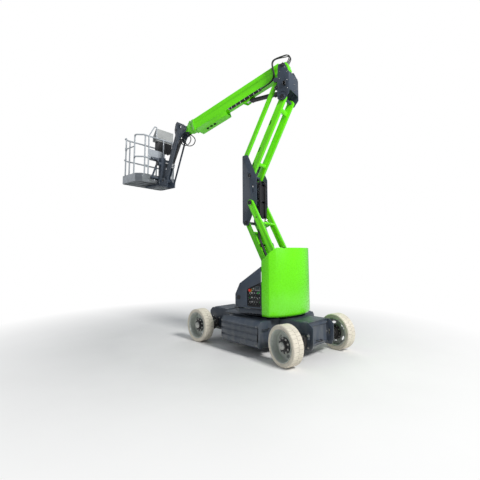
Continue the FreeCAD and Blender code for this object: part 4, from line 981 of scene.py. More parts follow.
@dataclass
class FrameSkins:
    """Finishes for every frame node, and merged copies with rounded edges where edges catch the light."""

    body_of: dict[str, str]

    def rows(self) -> list[SkinRow]:
        """Return one row for each frame node."""
        return [
            SkinRow("chassis_frame", SLATE, 0.006), SkinRow("battery_box_left", SLATE, 0.004),
            SkinRow("battery_box_right", SLATE, 0.004), SkinRow("steer_axle", BLACK, 0.003),
            SkinRow("drive_axle", BLACK, 0.003), SkinRow("slew_ring", BLACK), SkinRow("knuckle_left", BLACK),
            SkinRow("knuckle_right", BLACK), SkinRow("turret_frame", SLATE, 0.003),
            SkinRow("counterweight", LIME_CAST, 0.020), SkinRow("cover_left", SLATE_MOULDED, 0.007),
            SkinRow("cover_right", SLATE_MOULDED, 0.007), SkinRow("control_panel", PANEL, 0.002),
            SkinRow("hinge_post_left", BLACK), SkinRow("hinge_post_right", BLACK),
            SkinRow("lower_arms", LIME, 0.004), SkinRow("lower_link", LIME, 0.003),
            SkinRow("riser_barrel", BARREL, 0.002), SkinRow("riser_rod", CHROME), SkinRow("pillar", SLATE, 0.003),
            SkinRow("upper_arms", LIME, 0.004), SkinRow("tie_bar", LIME, 0.003),
            SkinRow("top_knuckle", SLATE, 0.003), SkinRow("main_boom", LIME, 0.003),
            SkinRow("energy_chain", CHAIN, 0.003), SkinRow("luff_barrel", BARREL, 0.002),
            SkinRow("luff_rod", CHROME), SkinRow("fly_boom", LIME, 0.002), SkinRow("boom_head", SLATE, 0.002),
            SkinRow("jib_arm", SLATE, 0.002), SkinRow("jib_link", SLATE, 0.002), SkinRow("jib_barrel", BARREL, 0.002),
            SkinRow("jib_rod", CHROME), SkinRow("basket_support", SLATE, 0.002), SkinRow("basket_mast", SLATE, 0.002),
            SkinRow("basket_floor", SHEET), SkinRow("entry_bar", RAIL),
            SkinRow("console", CONSOLE, 0.003), SkinRow("rear_panel", RAIL, 0.0015),
        ] + [SkinRow(f"rails_{part}", RAIL) for part in ("rear", "right", "front", "entry_front", "entry_rear")
             ] + [SkinRow(f"{part}_{corner}", finish, edge) for corner in CORNERS
             for part, finish, edge in (("tyre", TREAD, 0.0), ("rim", RIM, 0.0), ("hub", BLACK, 0.0))]

    def paint(self, node: str, finish: Finish) -> None:
        """Give a frame node its finish in its own slots."""
        piece = frame["nodes"][node]
        material = finish.build()
        for slot in piece.material_slots:
            slot.material = material
        if not piece.material_slots:
            piece.data.materials.append(material)

    def skin(self, row: SkinRow) -> None:
        """Lay a merged, edge-rounded copy over a frame node."""
        source = frame["nodes"][row.node]
        copy = source.copy()
        copy.data = source.data.copy()
        copy.parent = None
        copy.matrix_world = Matrix.Identity(4)
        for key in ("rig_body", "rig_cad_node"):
            if key in copy:
                del copy[key]
        copy.name = row.node + "_skin"
        bpy.context.scene.collection.objects.link(copy)
        copy.data.normals_split_custom_set([(0, 0, 0)] * len(copy.data.loops))
        only(copy)
        in_edit("VERT")
        bpy.ops.mesh.select_all(action="SELECT")
        bpy.ops.mesh.remove_doubles(threshold=2e-5)
        bpy.ops.mesh.dissolve_limited(angle_limit=math.radians(0.6))
        bpy.ops.object.mode_set(mode="OBJECT")
        softened(copy, row.edge, 2, 34.0)
        fitted(copy, row.finish, self.body_of[row.node], "over the frame")
        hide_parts(row.node)

    def build(self) -> None:
        """Dress every frame node."""
        for row in self.rows():
            self.paint(row.node, row.finish)
            if row.edge > 0:
                self.skin(row)


# Wheels

CORNERS = ("rear_left", "rear_right", "front_left", "front_right")


@dataclass
class Wheel:
    """Solid tyre with a block tread on a dished rim, built about the origin with its outside towards +Y."""

    tyre_radius: float = 0.285
    rim_radius: float = 0.220
    half: float = 0.095
    lugs: int = 30
    nut_circle: float = 0.098

    def tyre(self) -> bpy.types.Object:
        """Turn the tyre and raise its tread blocks."""
        outer, seat, half = self.tyre_radius, self.rim_radius, self.half
        crown = outer - 0.005
        edge = half - 0.008
        stations = ((seat + 0.001, -half + 0.012), (seat + 0.012, -half + 0.003), (seat + 0.020, -half + 0.004),
                    (outer - 0.032, -half + 0.001), (outer - 0.013, -half + 0.0015), (crown, -edge), (crown, 0.0),
                    (crown, edge), (outer - 0.013, half - 0.0015), (outer - 0.032, half - 0.001),
                    (seat + 0.020, half - 0.004), (seat + 0.012, half - 0.003), (seat + 0.001, half - 0.012))
        piece = turned("tyre", stations, self.lugs * 4, True)
        step = math.tau / (self.lugs * 4)
        rows = ((-edge, 0.0, 0), (0.0, edge, 2))
        for low, high, lag in rows:
            pick_edges(piece, lambda a, b, low=low, high=high, lag=lag: abs(a.z - b.z) > 0.02
                       and low - 1e-4 < min(a.z, b.z) and max(a.z, b.z) < high + 1e-4
                       and math.hypot(a.x, a.y) > crown - 1e-3
                       and (round(math.atan2(a.y, a.x) / step) - lag) % 4 != 0)
            bpy.ops.mesh.dissolve_edges(use_verts=False)
            bpy.ops.object.mode_set(mode="OBJECT")
        pick_faces(piece, lambda centre, normal: abs(normal.z) < 0.2 and abs(centre.z) < half - 0.02
                   and math.hypot(centre.x, centre.y) > crown - 0.004)
        bpy.ops.mesh.inset(thickness=0.0045, depth=0.0045, use_individual=True)
        bpy.ops.object.mode_set(mode="OBJECT")
        only(piece)
        bpy.ops.object.shade_smooth_by_angle(angle=math.radians(25))
        return piece

    def joints(self) -> bpy.types.Object:
        """Turn the thin dark layer at the foot of the tread's joints: painted shade in the tread grooves."""
        low, high, edge = self.tyre_radius - 0.007, self.tyre_radius - 0.0042, self.half - 0.009
        return turned("joints", ((low, -edge), (high, -edge), (high, edge), (low, edge)), self.lugs * 4, True)

    def rim(self) -> bpy.types.Object:
        """Turn the deep barrel and dish, and cut the five hand holes."""
        seat, half = self.rim_radius, self.half
        barrel = turned("rim", ((seat + 0.005, half - 0.002), (seat - 0.004, half - 0.001), (seat - 0.010, half - 0.014),
                                (seat - 0.014, half - 0.030), (seat - 0.018, half - 0.062), (seat - 0.020, -0.016),
                                (seat - 0.042, -0.019), (0.100, 0.004), (0.071, 0.006), (0.071, -0.006),
                                (0.100, -0.009), (seat - 0.042, -0.031), (seat - 0.018, -0.031),
                                (seat - 0.017, -half + 0.016), (seat - 0.008, -half + 0.005),
                                (seat + 0.002, -half + 0.010), (seat + 0.001, half - 0.010)), 60, True)
        deselect()
        bpy.ops.mesh.primitive_cylinder_add(vertices=24, radius=0.024, depth=0.2, location=(0.148, 0, 0))
        cutter = bpy.context.object
        cutter.scale = (0.86, 1.75, 1.0)
        bpy.context.view_layer.update()
        settle(cutter)
        cutters = repeated("cutters", cutter, [Matrix.Rotation(math.radians(72 * i + 36), 4, "Z") for i in range(5)])
        modify(barrel, "BOOLEAN", object=cutters, operation="DIFFERENCE", solver="EXACT")
        bpy.data.objects.remove(cutters)
        return softened(barrel, 0.0012, 1, 40.0)

    def hub(self) -> bpy.types.Object:
        """Turn the stepped hub with its gear case behind the dish."""
        return turned("hub", ((0.066, -0.104), (0.072, -0.100), (0.072, -0.090), (0.122, -0.086), (0.124, -0.080),
                              (0.124, -0.068), (0.118, -0.064), (0.0705, -0.060), (0.0705, 0.0065), (0.112, 0.012),
                              (0.114, 0.016), (0.114, 0.026), (0.110, 0.030), (0.078, 0.032), (0.074, 0.036),
                              (0.072, 0.058), (0.066, 0.064), (0.060, 0.066), (0.058, 0.062), (0.054, 0.062)), 48)

    def cap(self) -> bpy.types.Object:
        """Turn the hub's machined centre cap with a raised nose."""
        return turned("cap", ((0.0535, 0.061), (0.0535, 0.070), (0.050, 0.075), (0.036, 0.077), (0.034, 0.080),
                              (0.020, 0.082), (0.012, 0.083), (0.011, 0.087), (0.006, 0.088)), 36)

    def nuts(self) -> bpy.types.Object:
        """Set the wheel nuts on the hub and the screws round the cap and the gear case."""
        matrices = []
        for i in range(9):
            matrices.append(Matrix.Rotation(math.tau * i / 9, 4, "Z") @ Matrix.Translation((self.nut_circle, 0, 0.030)))
        nuts = repeated("nuts", hex_bolt(0.024), matrices)
        ring = [Matrix.Rotation(math.tau * (i + 0.5) / 8, 4, "Z") @ Matrix.Translation((0.043, 0, 0.0755))
                for i in range(8)]
        screws = repeated("screws", socket_screw(0.010), ring)
        back = [Matrix.Rotation(math.tau * i / 12, 4, "Z") @ Matrix.Translation((0.112, 0, -0.085))
                @ Matrix.Rotation(math.pi, 4, "X") for i in range(12)]
        studs = repeated("studs", hex_bolt(0.016, False), back)
        return merged("nuts", [nuts, screws, studs])

    def place(self, corner: str) -> Matrix:
        """Return the matrix of a corner's wheel, from its own axle."""
        joint = next(j for j in frame["joints"] if j["name"] == f"wheel_{corner}_spin")
        axis = Vector(joint["axis"])
        heading = math.atan2(axis.y, axis.x) - math.pi / 2
        if corner.endswith("right"):
            heading += math.pi
        lay = Matrix.Rotation(math.radians(-90), 4, "X")
        return Matrix.Translation(joint["pos_m"]) @ Matrix.Rotation(heading, 4, "Z") @ lay

    def build(self) -> None:
        """Model one wheel and set it at the four corners."""
        # The joints layer is painted shade, laid on the floors of the tread grooves.
        parts = ((self.tyre(), TREAD, "tyre"), (self.joints(), TREAD_GROOVE_SHADE, ""), (self.rim(), RIM, "rim"), (self.hub(), BLACK, "hub"),
                 (self.cap(), ZINC, ""), (self.nuts(), ZINC, ""))
        for corner in CORNERS:
            matrix = self.place(corner)
            for pattern, finish, node in parts:
                copy = twin(pattern, matrix)
                copy.name = f"{pattern.name}_{corner}_made"
                fitted(copy, finish, f"wheel_{corner}")
                if node:
                    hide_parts(f"{node}_{corner}")
        for pattern, _finish, _node in parts:
            bpy.data.objects.remove(pattern)


# Pins


@dataclass(frozen=True)
class CapRow:
    """One visible pin end: name, body, pivot on the turret's (x, z), outer face, radius, keeper's heading in degrees."""

    name: str
    body: str
    x: float
    z: float
    face: float
    radius: float
    keeper: float = 90.0


@dataclass
class PinCaps:
    """Chamfered pin ends with a washer and a bolted keeper, on both sides of the arms."""

    def one(self, radius: float, keeper: float) -> tuple[bpy.types.Object, bpy.types.Object]:
        """Make one upright cap.

        Args:
            radius: of the washer.
            keeper: heading of the keeper in degrees.

        Returns:
            The dark cap, and the plated bolts.
        """
        disc = turned("cap", ((radius, 0.0), (radius, 0.0035), (radius - 0.0015, 0.005), (radius * 0.70, 0.005),
                              (radius * 0.68, 0.0075), (radius * 0.60, 0.0095), (radius * 0.22, 0.0095),
                              (radius * 0.18, 0.0075)), 28)
        lay = Matrix.Rotation(math.radians(keeper), 4, "Z")
        bar = block("bar", (radius * 0.2, -radius * 0.22, 0.0045), (radius * 1.35, radius * 0.22, 0.0085), 0.0012)
        moved(bar, lay)
        bolt = repeated("bolt", hex_bolt(radius * 0.34), [lay @ Matrix.Translation((radius * 1.08, 0, 0.008))])
        grease = turned("grease", ((0.004, 0.0075), (0.004, 0.011), (0.0025, 0.012), (0.003, 0.0145), (0.001, 0.016)), 10)
        return merged("cap", [disc, bar]), merged("bolts", [bolt, grease])

    def build(self, rows: Sequence[CapRow]) -> None:
        """Set a cap on each side of each row's pin."""
        for row in rows:
            cap, bolts = self.one(row.radius, row.keeper)
            for side in Side:
                facing = Facing.LEFT if side is Side.LEFT else Facing.RIGHT
                spot = on_turret(row.x, side.value * row.face, row.z)
                matrix = facing_matrix(facing, spot)
                for pattern, finish, word in ((cap, BLACK, "cap"), (bolts, ZINC, "bolts")):
                    copy = twin(pattern, matrix)
                    copy.name = f"{row.name}_{word}_{side.name.lower()}"
                    fitted(copy, finish, row.body)
            bpy.data.objects.remove(cap)
            bpy.data.objects.remove(bolts)


def cap_rows() -> list[CapRow]:
    """Return the visible pin ends, from the frame's own pivots."""
    rows = []
    table = (
        ("lower_top_pin", "pillar", "pillar_pivot", 0.2953, 0.042, 115.0),
        ("upper_foot_pin", "pillar", "upper_arms_pivot", 0.2213, 0.036, 90.0),
        ("upper_top_pin", "top_knuckle", "top_knuckle_pivot", 0.2193, 0.040, 90.0),
        ("boom_foot_pin", "top_knuckle", "luff", 0.2193, 0.036, 250.0),
        ("luff_base_pin", "top_knuckle", "luff_barrel_pivot", 0.2153, 0.030, 20.0),
        ("head_pin", "boom_head", "boom_head_level", 0.1103, 0.026, 200.0),
        ("jib_foot_pin", "boom_head", "jib", 0.1103, 0.028, 100.0),
        ("jib_base_pin", "boom_head", "jib_barrel_pivot", 0.1103, 0.022, 300.0),
        ("jib_end_pin", "basket_support", "basket_level", 0.1103, 0.028, 60.0),
    )
    for name, body, joint, face, radius, keeper in table:
        spot = PIVOTS[joint]
        rows.append(CapRow(name, body, spot.x - SLEW.x, spot.z, face, radius, keeper))
    low = PIVOTS["lower_link_pivot"]
    riser = PIVOTS["riser"]
    rows.append(CapRow("lower_foot_pin", "turret", riser.x - SLEW.x, riser.z, 0.3343, 0.034, 90.0))
    rows.append(CapRow("link_foot_pin", "turret", low.x - SLEW.x, low.z, 0.3343, 0.032, 40.0))
    top = PIVOTS["pillar_pivot"]
    rows.append(CapRow("link_top_pin", "pillar", top.x - SLEW.x + low.x - riser.x, top.z + low.z - riser.z,
                       0.2213, 0.034, 75.0))
    return rows


# Chassis


@dataclass
class ChassisTrim:
    """Deck plates, end panels, lashing rings, battery box fittings, ring bolts and axle hardware."""

    half_length: float = 1.18
    half_width: float = 0.28
    top: float = 0.545
    box_face: float = 0.746
    matrix: Matrix = None

    def put(self, piece: bpy.types.Object, finish: Finish, body: str = "chassis") -> None:
        """Turn a piece to the chassis and fit it."""
        fitted(moved(piece, self.matrix), finish, body)

    def decks(self) -> None:
        """Lay the screwed deck plates at both ends, with folded lips."""
        for name, x0, x1 in (("rear", -1.085, -0.575), ("front", 0.665, 1.085)):
            deck = plate(f"deck_{name}", ((x0, -0.255), (x1, -0.255), (x1, 0.255), (x0, 0.255)), 0.006, 0.002)
            moved(deck, Matrix.Translation((0, 0, self.top)))
            pick_faces(deck, lambda centre, normal: normal.z > 0.9)
            bpy.ops.mesh.inset(thickness=0.018, depth=0.0)
            bpy.ops.mesh.inset(thickness=0.004, depth=0.003)
            bpy.ops.object.mode_set(mode="OBJECT")
            self.put(deck, SLATE)
            spots = [Matrix.Translation((x, y, self.top + 0.006)) for x in (x0 + 0.012, (x0 + x1) / 2, x1 - 0.012)
                     for y in (-0.243, 0.243)]
            self.put(repeated(f"deck_screws_{name}", socket_screw(0.014), spots), ZINC)

    def end_panels(self) -> None:
        """Make the recessed end panels: a pressed frame, a hatch and bolts."""
        for name, sign in (("rear", -1), ("front", 1)):
            x = sign * 1.0705
            panel = block(f"end_panel_{name}", (min(x, x + sign * 0.010), -0.250, 0.205),
                          (max(x, x + sign * 0.010), 0.250, 0.515), 0.003)
            pick_faces(panel, lambda centre, normal, sign=sign: normal.x * sign > 0.9)
            bpy.ops.mesh.inset(thickness=0.030, depth=0.0)
            bpy.ops.mesh.inset(thickness=0.006, depth=-0.006)
            bpy.ops.mesh.inset(thickness=0.050, depth=0.0)
            bpy.ops.mesh.inset(thickness=0.004, depth=0.008)
            bpy.ops.object.mode_set(mode="OBJECT")
            self.put(softened(panel, 0.0015, 2, 30.0), SLATE)
            facing = Facing.AHEAD if sign > 0 else Facing.BACK
            spots = [facing_matrix(facing, (x + sign * 0.010, y, z)) for y in (-0.236, 0.236)
                     for z in (0.219, 0.36, 0.501)]
            self.put(repeated(f"end_bolts_{name}", hex_bolt(0.018), spots), ZINC)
            ring = bent_rod(f"tow_ring_{name}", [(x + sign * 0.010, -0.050, 0.262), (x + sign * 0.048, -0.050, 0.262),
                                                 (x + sign * 0.066, -0.030, 0.258), (x + sign * 0.066, 0.030, 0.258),
                                                 (x + sign * 0.048, 0.050, 0.262), (x + sign * 0.010, 0.050, 0.262)],
                            0.008)
            self.put(ring, BLACK)

    def boxes(self) -> None:
        """Fit the battery boxes: corner screws, lid seam and lifting handles."""
        for side in Side:
            y = side.value * self.box_face
            facing = Facing.LEFT if side is Side.LEFT else Facing.RIGHT
            spots = [facing_matrix(facing, (x, y, z)) for x in (-0.490, 0.290) for z in (0.205, 0.475)]
            self.put(repeated(f"box_screws_{side.name.lower()}", socket_screw(0.018), spots), ZINC)
            seam = block(f"box_seal_{side.name.lower()}", (-0.500, min(side.value * 0.445, side.value * 0.672), 0.5395),
                         (0.300, max(side.value * 0.445, side.value * 0.672), 0.545), 0.002)
            pick_faces(seam, lambda centre, normal: normal.z > 0.9)
            bpy.ops.mesh.inset(thickness=0.020, depth=0.0)
            bpy.ops.mesh.inset(thickness=0.004, depth=-0.003)
            bpy.ops.object.mode_set(mode="OBJECT")
            self.put(seam, SLATE)
            grip = bent_rod(f"box_grip_{side.name.lower()}",
                            [(-0.5305, side.value * 0.520, 0.430), (-0.560, side.value * 0.520, 0.430),
                             (-0.566, side.value * 0.530, 0.430), (-0.566, side.value * 0.650, 0.430),
                             (-0.560, side.value * 0.660, 0.430), (-0.5305, side.value * 0.660, 0.430)], 0.006)
            self.put(grip, BLACK)

    def ring(self) -> None:
        """Bolt the slewing ring down and add its seal lip."""
        bolts = [Matrix.Rotation(math.tau * i / 30, 4, "Z") @ Matrix.Translation((0.348, 0, 0.5603)) for i in range(30)]
        self.put(repeated("ring_bolts", hex_bolt(0.022), bolts), ZINC)
        lip = turned("ring_seal", ((0.3302, 0.600), (0.335, 0.600), (0.337, 0.606), (0.335, 0.612), (0.3302, 0.612)), 64,
                     True)
        self.put(lip, HOSE)

    def axles(self) -> None:
        """Add the side plates' bolt groups and the drive housings' screws."""
        for side in Side:
            facing = Facing.LEFT if side is Side.LEFT else Facing.RIGHT
            y = side.value * 0.2803
            spots = [facing_matrix(facing, (end + dx, y, 0.285 + dz)) for end in (-1.0, 1.0) for dx in (-0.088, 0.088)
                     for dz in (-0.085, 0.085)]
            self.put(repeated(f"axle_bolts_{side.name.lower()}", hex_bolt(0.026), spots), ZINC)
            flange = [facing_matrix(facing, (1.0 + 0.106 * math.cos(a), side.value * 0.3702, 0.285 + 0.106 * math.sin(a)))
                      for a in (math.tau * i / 10 for i in range(10))]
            self.put(repeated(f"flange_bolts_{side.name.lower()}", hex_bolt(0.014, False), flange), ZINC)

    def build(self) -> None:
        """Fit out the chassis."""
        self.matrix = chassis_matrix()
        self.decks()
        self.end_panels()
        self.boxes()
        self.ring()
        self.axles()


# Superstructure


@dataclass
class SuperstructureTrim:
    """Control panel face, cover latches and vents, counterweight plugs and the cheeks' bolts."""

    face: float = 0.638
    wall: float = 0.650
    matrix: Matrix = None

    def put(self, piece: bpy.types.Object, finish: Finish, body: str = "turret") -> None:
        """Move a piece to the turret and fit it."""
        fitted(moved(piece, self.matrix), finish, body)

    def glyph(self, kind: int, size: float) -> bpy.types.Object:
        """Make a small flat pictogram: arrow, double arrow, ring, bar pair or wheel.

        Args:
            kind: which one.
            size: height in metres.

        Returns:
            The upright piece, seated at z = 0.
        """
        deselect()
        half = size / 2
        if kind % 5 == 2:
            return turned("glyph", ((half, 0.0), (half, 0.0006), (half * 0.68, 0.0006), (half * 0.68, 0.0)), 18, True)
        shapes = {
            0: [((-half * 0.7, -half * 0.2), (half * 0.7, -half * 0.2), (0, half)),
                ((-half * 0.25, -half), (half * 0.25, -half), (half * 0.25, -half * 0.25),
                 (-half * 0.25, -half * 0.25))],
            1: [((-half, 0), (-half * 0.3, -half * 0.6), (-half * 0.3, half * 0.6)),
                ((half, 0), (half * 0.3, half * 0.6), (half * 0.3, -half * 0.6))],
            3: [((-half, -half), (-half * 0.2, -half), (-half * 0.2, half), (-half, half * 0.4)),
                ((half * 0.2, -half), (half, -half), (half, half * 0.4), (half * 0.2, half))],
            4: [((-half, -half * 0.9), (half, -half * 0.9), (half, -half * 0.4), (-half, -half * 0.4)),
                ((-half * 0.4, -half * 0.3), (half * 0.9, half), (half * 0.5, half), (-half * 0.9, -half * 0.3))],
        }
        return merged("glyph", [plate("glyph", outline, 0.0006, 0.0) for outline in shapes[kind % 5]])

    def outward(self, x: float, y: float, z: float) -> Matrix:
        """Return the matrix that stands an upright piece on the left side at a point."""
        return Matrix.Translation((x, y, z)) @ Matrix(((-1, 0, 0, 0), (0, 0, 1, 0), (0, 1, 0, 0), (0, 0, 0, 1)))

    def panel(self) -> None:
        """Dress the ground control panel."""
        y = self.face - 0.0157
        board = upright_plate("panel_board", ((-0.252, 0.752), (-0.050, 0.752), (-0.050, 0.985), (-0.252, 1.085)),
                              y - 0.0005, y + 0.0015, 0.0006)
        self.put(board, PANEL)
        seal = upright_plate("panel_seal", ((-0.290, 0.712), (0.006, 0.712), (0.006, 1.018), (-0.290, 1.130)),
                             self.face - 0.026, self.face - 0.022, 0.001)
        self.put(seal, PANEL)
        white, green = [], []
        for row, z in enumerate((0.800, 0.868, 0.938)):
            for column, x in enumerate((-0.235, -0.190, -0.145, -0.100, -0.062)):
                mark = moved(self.glyph(row * 5 + column, 0.022), self.outward(x - 0.001, y + 0.0016, z + 0.006))
                (green if (row, column) in ((0, 0), (1, 4)) else white).append(mark)
        for x in (-0.120, -0.098):
            white.append(moved(self.glyph(0, 0.016), self.outward(x, y + 0.0016, 0.985)))
        green.append(moved(plate("mark", ((-0.022, -0.016), (0.022, -0.016), (0, 0.020)), 0.0008, 0.0),
                           self.outward(-0.212, y + 0.0016, 0.950)))
        self.put(merged("panel_marks_white", white), WHITE_INK)
        self.put(merged("panel_marks_green", green), GREEN_INK)
        switches, boots = [], []
        for z in (0.780, 0.850, 0.920):
            for column, x in enumerate((-0.235, -0.190, -0.145, -0.100, -0.060)):
                boot = turned("boot", ((0.0085, -0.0136), (0.0085, 0.0), (0.0105, 0.0), (0.0110, 0.002), (0.0085, 0.005),
                                       (0.0080, 0.008), (0.0055, 0.011), (0.0050, 0.014)), 16)
                boots.append(moved(boot, self.outward(x, self.face - 0.0022, z)))
                lever = turned("lever", ((0.0026, 0.012), (0.0030, 0.022), (0.0038, 0.027), (0.0030, 0.031),
                                         (0.0012, 0.033)), 12)
                lean = Matrix.Rotation(math.radians((-12, 9, 0)[column % 3]), 4, "X")
                switches.append(moved(lever, self.outward(x, self.face - 0.0022, z) @ lean))
        self.put(merged("panel_boots", boots), HOSE)
        self.put(merged("panel_levers", switches), ZINC)
        for name, stations, finish in (
                ("stop_ring", ((0.029, 0.0), (0.030, 0.002), (0.028, 0.004), (0.0215, 0.004), (0.021, 0.0)), YELLOW_CAP),
                ("stop_cap", ((0.0205, 0.023), (0.0215, 0.026), (0.0225, 0.029), (0.0215, 0.033), (0.016, 0.0365),
                              (0.006, 0.038)), RED_CAP)):
            closed = name == "stop_ring"
            lift = self.face - 0.0155 if closed else self.face - 0.016
            self.put(moved(turned(name, stations, 36, closed), self.outward(-0.070, lift, 0.985)), finish)
        key = turned("key_lock", ((0.013, 0.0), (0.014, 0.003), (0.012, 0.005), (0.0105, 0.005), (0.0100, 0.0035)), 24)
        blade = block("blade", (-0.0022, -0.008, 0.003), (0.0022, 0.008, 0.017), 0.0012)
        self.put(moved(merged("key_lock", [key, blade]), self.outward(-0.130, y + 0.001, 1.012)), ZINC)
        lamp = turned("run_lamp", ((0.0085, 0.0), (0.0095, 0.002), (0.0090, 0.005), (0.0060, 0.0085), (0.002, 0.0095)), 20)
        self.put(moved(lamp, self.outward(-0.238, self.face - 0.012, 0.962)), GREEN_LAMP)
        screen = upright_plate("display", ((-0.245, 0.986), (-0.166, 0.986), (-0.166, 1.044), (-0.245, 1.044)),
                               self.face - 0.0082, self.face - 0.0068, 0.0005)
        self.put(screen, GLASS)
        bezel = upright_plate("display_bezel", ((-0.249, 0.981), (-0.161, 0.981), (-0.161, 1.049), (-0.249, 1.049)),
                              self.face - 0.0090, self.face - 0.0079, 0.0004)
        self.put(bezel, SHEET)
        rim = [self.outward(x, self.face - 0.0002, z) for x, z in
               ((-0.264, 0.745), (-0.038, 0.745), (-0.264, 0.92), (-0.038, 0.87), (-0.264, 1.088), (-0.038, 0.994))]
        self.put(repeated("panel_screws", socket_screw(0.008), rim), ZINC)

    def covers(self) -> None:
        """Fit each cover with a folded latch, edge screws, vent slats and a roof seam."""
        for side in Side:
            word = side.name.lower()
            body = f"cover_{word}"
            s = side.value

            def face(x: float, z: float, s: int = s) -> Matrix:
                """Return the matrix that stands an upright piece on this cover's outer wall."""
                facing = Facing.LEFT if s > 0 else Facing.RIGHT
                return facing_matrix(facing, (x, s * self.wall, z))

            pan = turned("latch_pan", ((0.034, -0.001), (0.036, 0.002), (0.033, 0.003), (0.028, 0.001), (0.012, 0.001),
                                       (0.010, 0.006), (0.007, 0.007)), 30)
            arm = block("latch_arm", (-0.007, -0.026, 0.0015), (0.007, 0.026, 0.0075), 0.002)
            self.put(moved(merged(f"cover_latch_{word}", [pan, arm]), face(0.135, 0.865)), BLACK, body)
            spots = [(0.165, 0.740), (0.165, 0.915), (0.015, 0.740), (0.100, 1.050), (-0.235, 1.255)]
            if side is Side.RIGHT:
                spots += [(-0.255, 0.740)]
            screws = [face(x, z) for x, z in spots]
            self.put(repeated(f"cover_screws_{word}", socket_screw(0.014), screws), BLACK, body)
            slats = []
            if side is Side.RIGHT:
                for i in range(7):
                    z = 0.800 + 0.034 * i
                    slat = plate("slat", ((-0.09, 0.0), (0.09, 0.0), (0.084, 0.013), (-0.084, 0.013)), 0.006, 0.002)
                    slats.append(moved(slat, face(-0.10, z)))
                self.put(merged(f"cover_vents_{word}", slats), SLATE_MOULDED, body)
            trim = bent_rod(f"cover_piping_{word}", [
                (0.187, s * 0.6502, 0.722), (0.187, s * 0.6502, 0.929), (0.113, s * 0.6502, 1.083),
                (-0.276, s * 0.6502, 1.352)], 0.0024, order=2)
            self.put(trim, SLATE_MOULDED, body)
            hinge = [Matrix.Translation((0.202, s * 0.624, 0.7515 + 0.0)),
                     Matrix.Translation((0.202, s * 0.624, 0.9122))]
            cap = turned("hinge_cap", ((0.0125, 0.0), (0.0132, 0.003), (0.0120, 0.006), (0.0070, 0.006)), 20)
            self.put(repeated(f"hinge_caps_{word}", cap, hinge), ZINC, body)

    def weight(self) -> None:
        """Fit the counterweight's lifting plugs."""
        plug = turned("plug", ((0.030, 0.0), (0.031, 0.004), (0.028, 0.007), (0.018, 0.007), (0.016, 0.004),
                               (0.008, 0.004)), 28)
        spots = [Matrix.Translation((-0.600, y, 1.6602)) for y in (-0.465, 0.465)]
        self.put(repeated("weight_plugs", plug, spots), BLACK)

    def cheeks(self) -> None:
        """Bolt the cheeks down and fit the slew motor's cap."""
        spots = []
        for s in (-1, 1):
            for x in (-0.60, -0.46, -0.12, 0.02, 0.16, 0.30):
                spots.append(Matrix.Translation((x, s * 0.350, 0.6902)))
        self.put(repeated("cheek_bolts", hex_bolt(0.024), spots), ZINC)
        cap = turned("motor_cap", ((0.060, 0.840), (0.062, 0.846), (0.058, 0.858), (0.040, 0.862), (0.036, 0.884),
                                   (0.024, 0.890), (0.010, 0.891)), 36)
        self.put(moved(cap, Matrix.Translation((0.256, 0.0, 0.0))), BLACK)
        screws = [Matrix.Translation((0.256 + 0.050 * math.cos(a), 0.050 * math.sin(a), 0.858))
                  for a in (math.tau * i / 6 for i in range(6))]
        self.put(repeated("motor_screws", socket_screw(0.010), screws), ZINC)
        skirt = turned("table_lip", ((0.336, 0.6215), (0.345, 0.6205), (0.352, 0.6205), (0.352, 0.6180), (0.338, 0.6180)),
                       72, True)
        self.put(skirt, BLACK)

    def build(self) -> None:
        """Fit out the superstructure."""
        self.matrix = turret_matrix()
        self.panel()
        self.covers()
        self.weight()
        self.cheeks()


# Cylinders


@dataclass(frozen=True)
class CylinderRow:
    """One hydraulic cylinder: its body names, base and rod eye on the turret's (x, z), and its sizes."""

    name: str
    base: tuple[float, float]
    eye: tuple[float, float]
    radius: float
    length: float
    side: float


@dataclass
class CylinderTrim:
    """Valve block, pipe, fittings and wiper ring on each cylinder."""

    def build(self, rows: Sequence[CylinderRow]) -> None:
        """Fit out each cylinder's barrel."""
        for row in rows:
            start = on_turret(row.base[0], 0.0, row.base[1])
            end = on_turret(row.eye[0], 0.0, row.eye[1])
            lay = bar_matrix(start, end)
            r, s = row.radius, row.side
            low, high = 0.11, row.length - 0.045
            block_low = block("valve", (low - 0.024, -0.018, s * (r - 0.004)), (low + 0.030, 0.018, s * (r + 0.020)),
                              0.0025) if s > 0 else \
                block("valve", (low - 0.024, -0.018, -(r + 0.020)), (low + 0.030, 0.018, -(r - 0.004)), 0.0025)
            port = block("port", (high - 0.014, -0.013, min(s * (r - 0.003), s * (r + 0.014))),
                         (high + 0.014, 0.013, max(s * (r - 0.003), s * (r + 0.014))), 0.002)
            pipe = bent_rod("pipe", [(low + 0.020, 0.0, s * (r + 0.010)), (low + 0.050, 0.0, s * (r + 0.010)),
                                     (low + 0.065, 0.0, s * (r + 0.008)), (high - 0.060, 0.0, s * (r + 0.008)),
                                     (high - 0.040, 0.0, s * (r + 0.009)), (high - 0.006, 0.0, s * (r + 0.009))], 0.005)
            collar = turned("wiper", ((r * 0.60, 0.0), (r * 0.62, 0.006), (r * 0.78, 0.008), (r * 0.80, 0.0)), 32, True)
            moved(collar, Matrix.Translation((row.length, 0, 0)) @ facing_matrix(Facing.AHEAD, (0, 0, 0)))
            body = f"{row.name}_barrel"
            fitted(moved(merged(f"{row.name}_valve", [block_low, port]), lay), BARREL, body)
            fitted(moved(pipe, lay), ZINC, body).name = f"{row.name}_pipe"
            fitted(moved(collar, lay), HOSE, body).name = f"{row.name}_wiper"
            nuts = []
            for x in (low - 0.004, low + 0.020):
                nuts.append(Matrix.Translation((x, 0, s * (r + 0.019))) @ facing_matrix(
                    Facing.UP, (0, 0, 0)) @ Matrix.Rotation(0 if s > 0 else math.pi, 4, "X"))
            fitted(moved(repeated(f"{row.name}_fittings", hex_bolt(0.016, False), nuts), lay), ZINC, body)


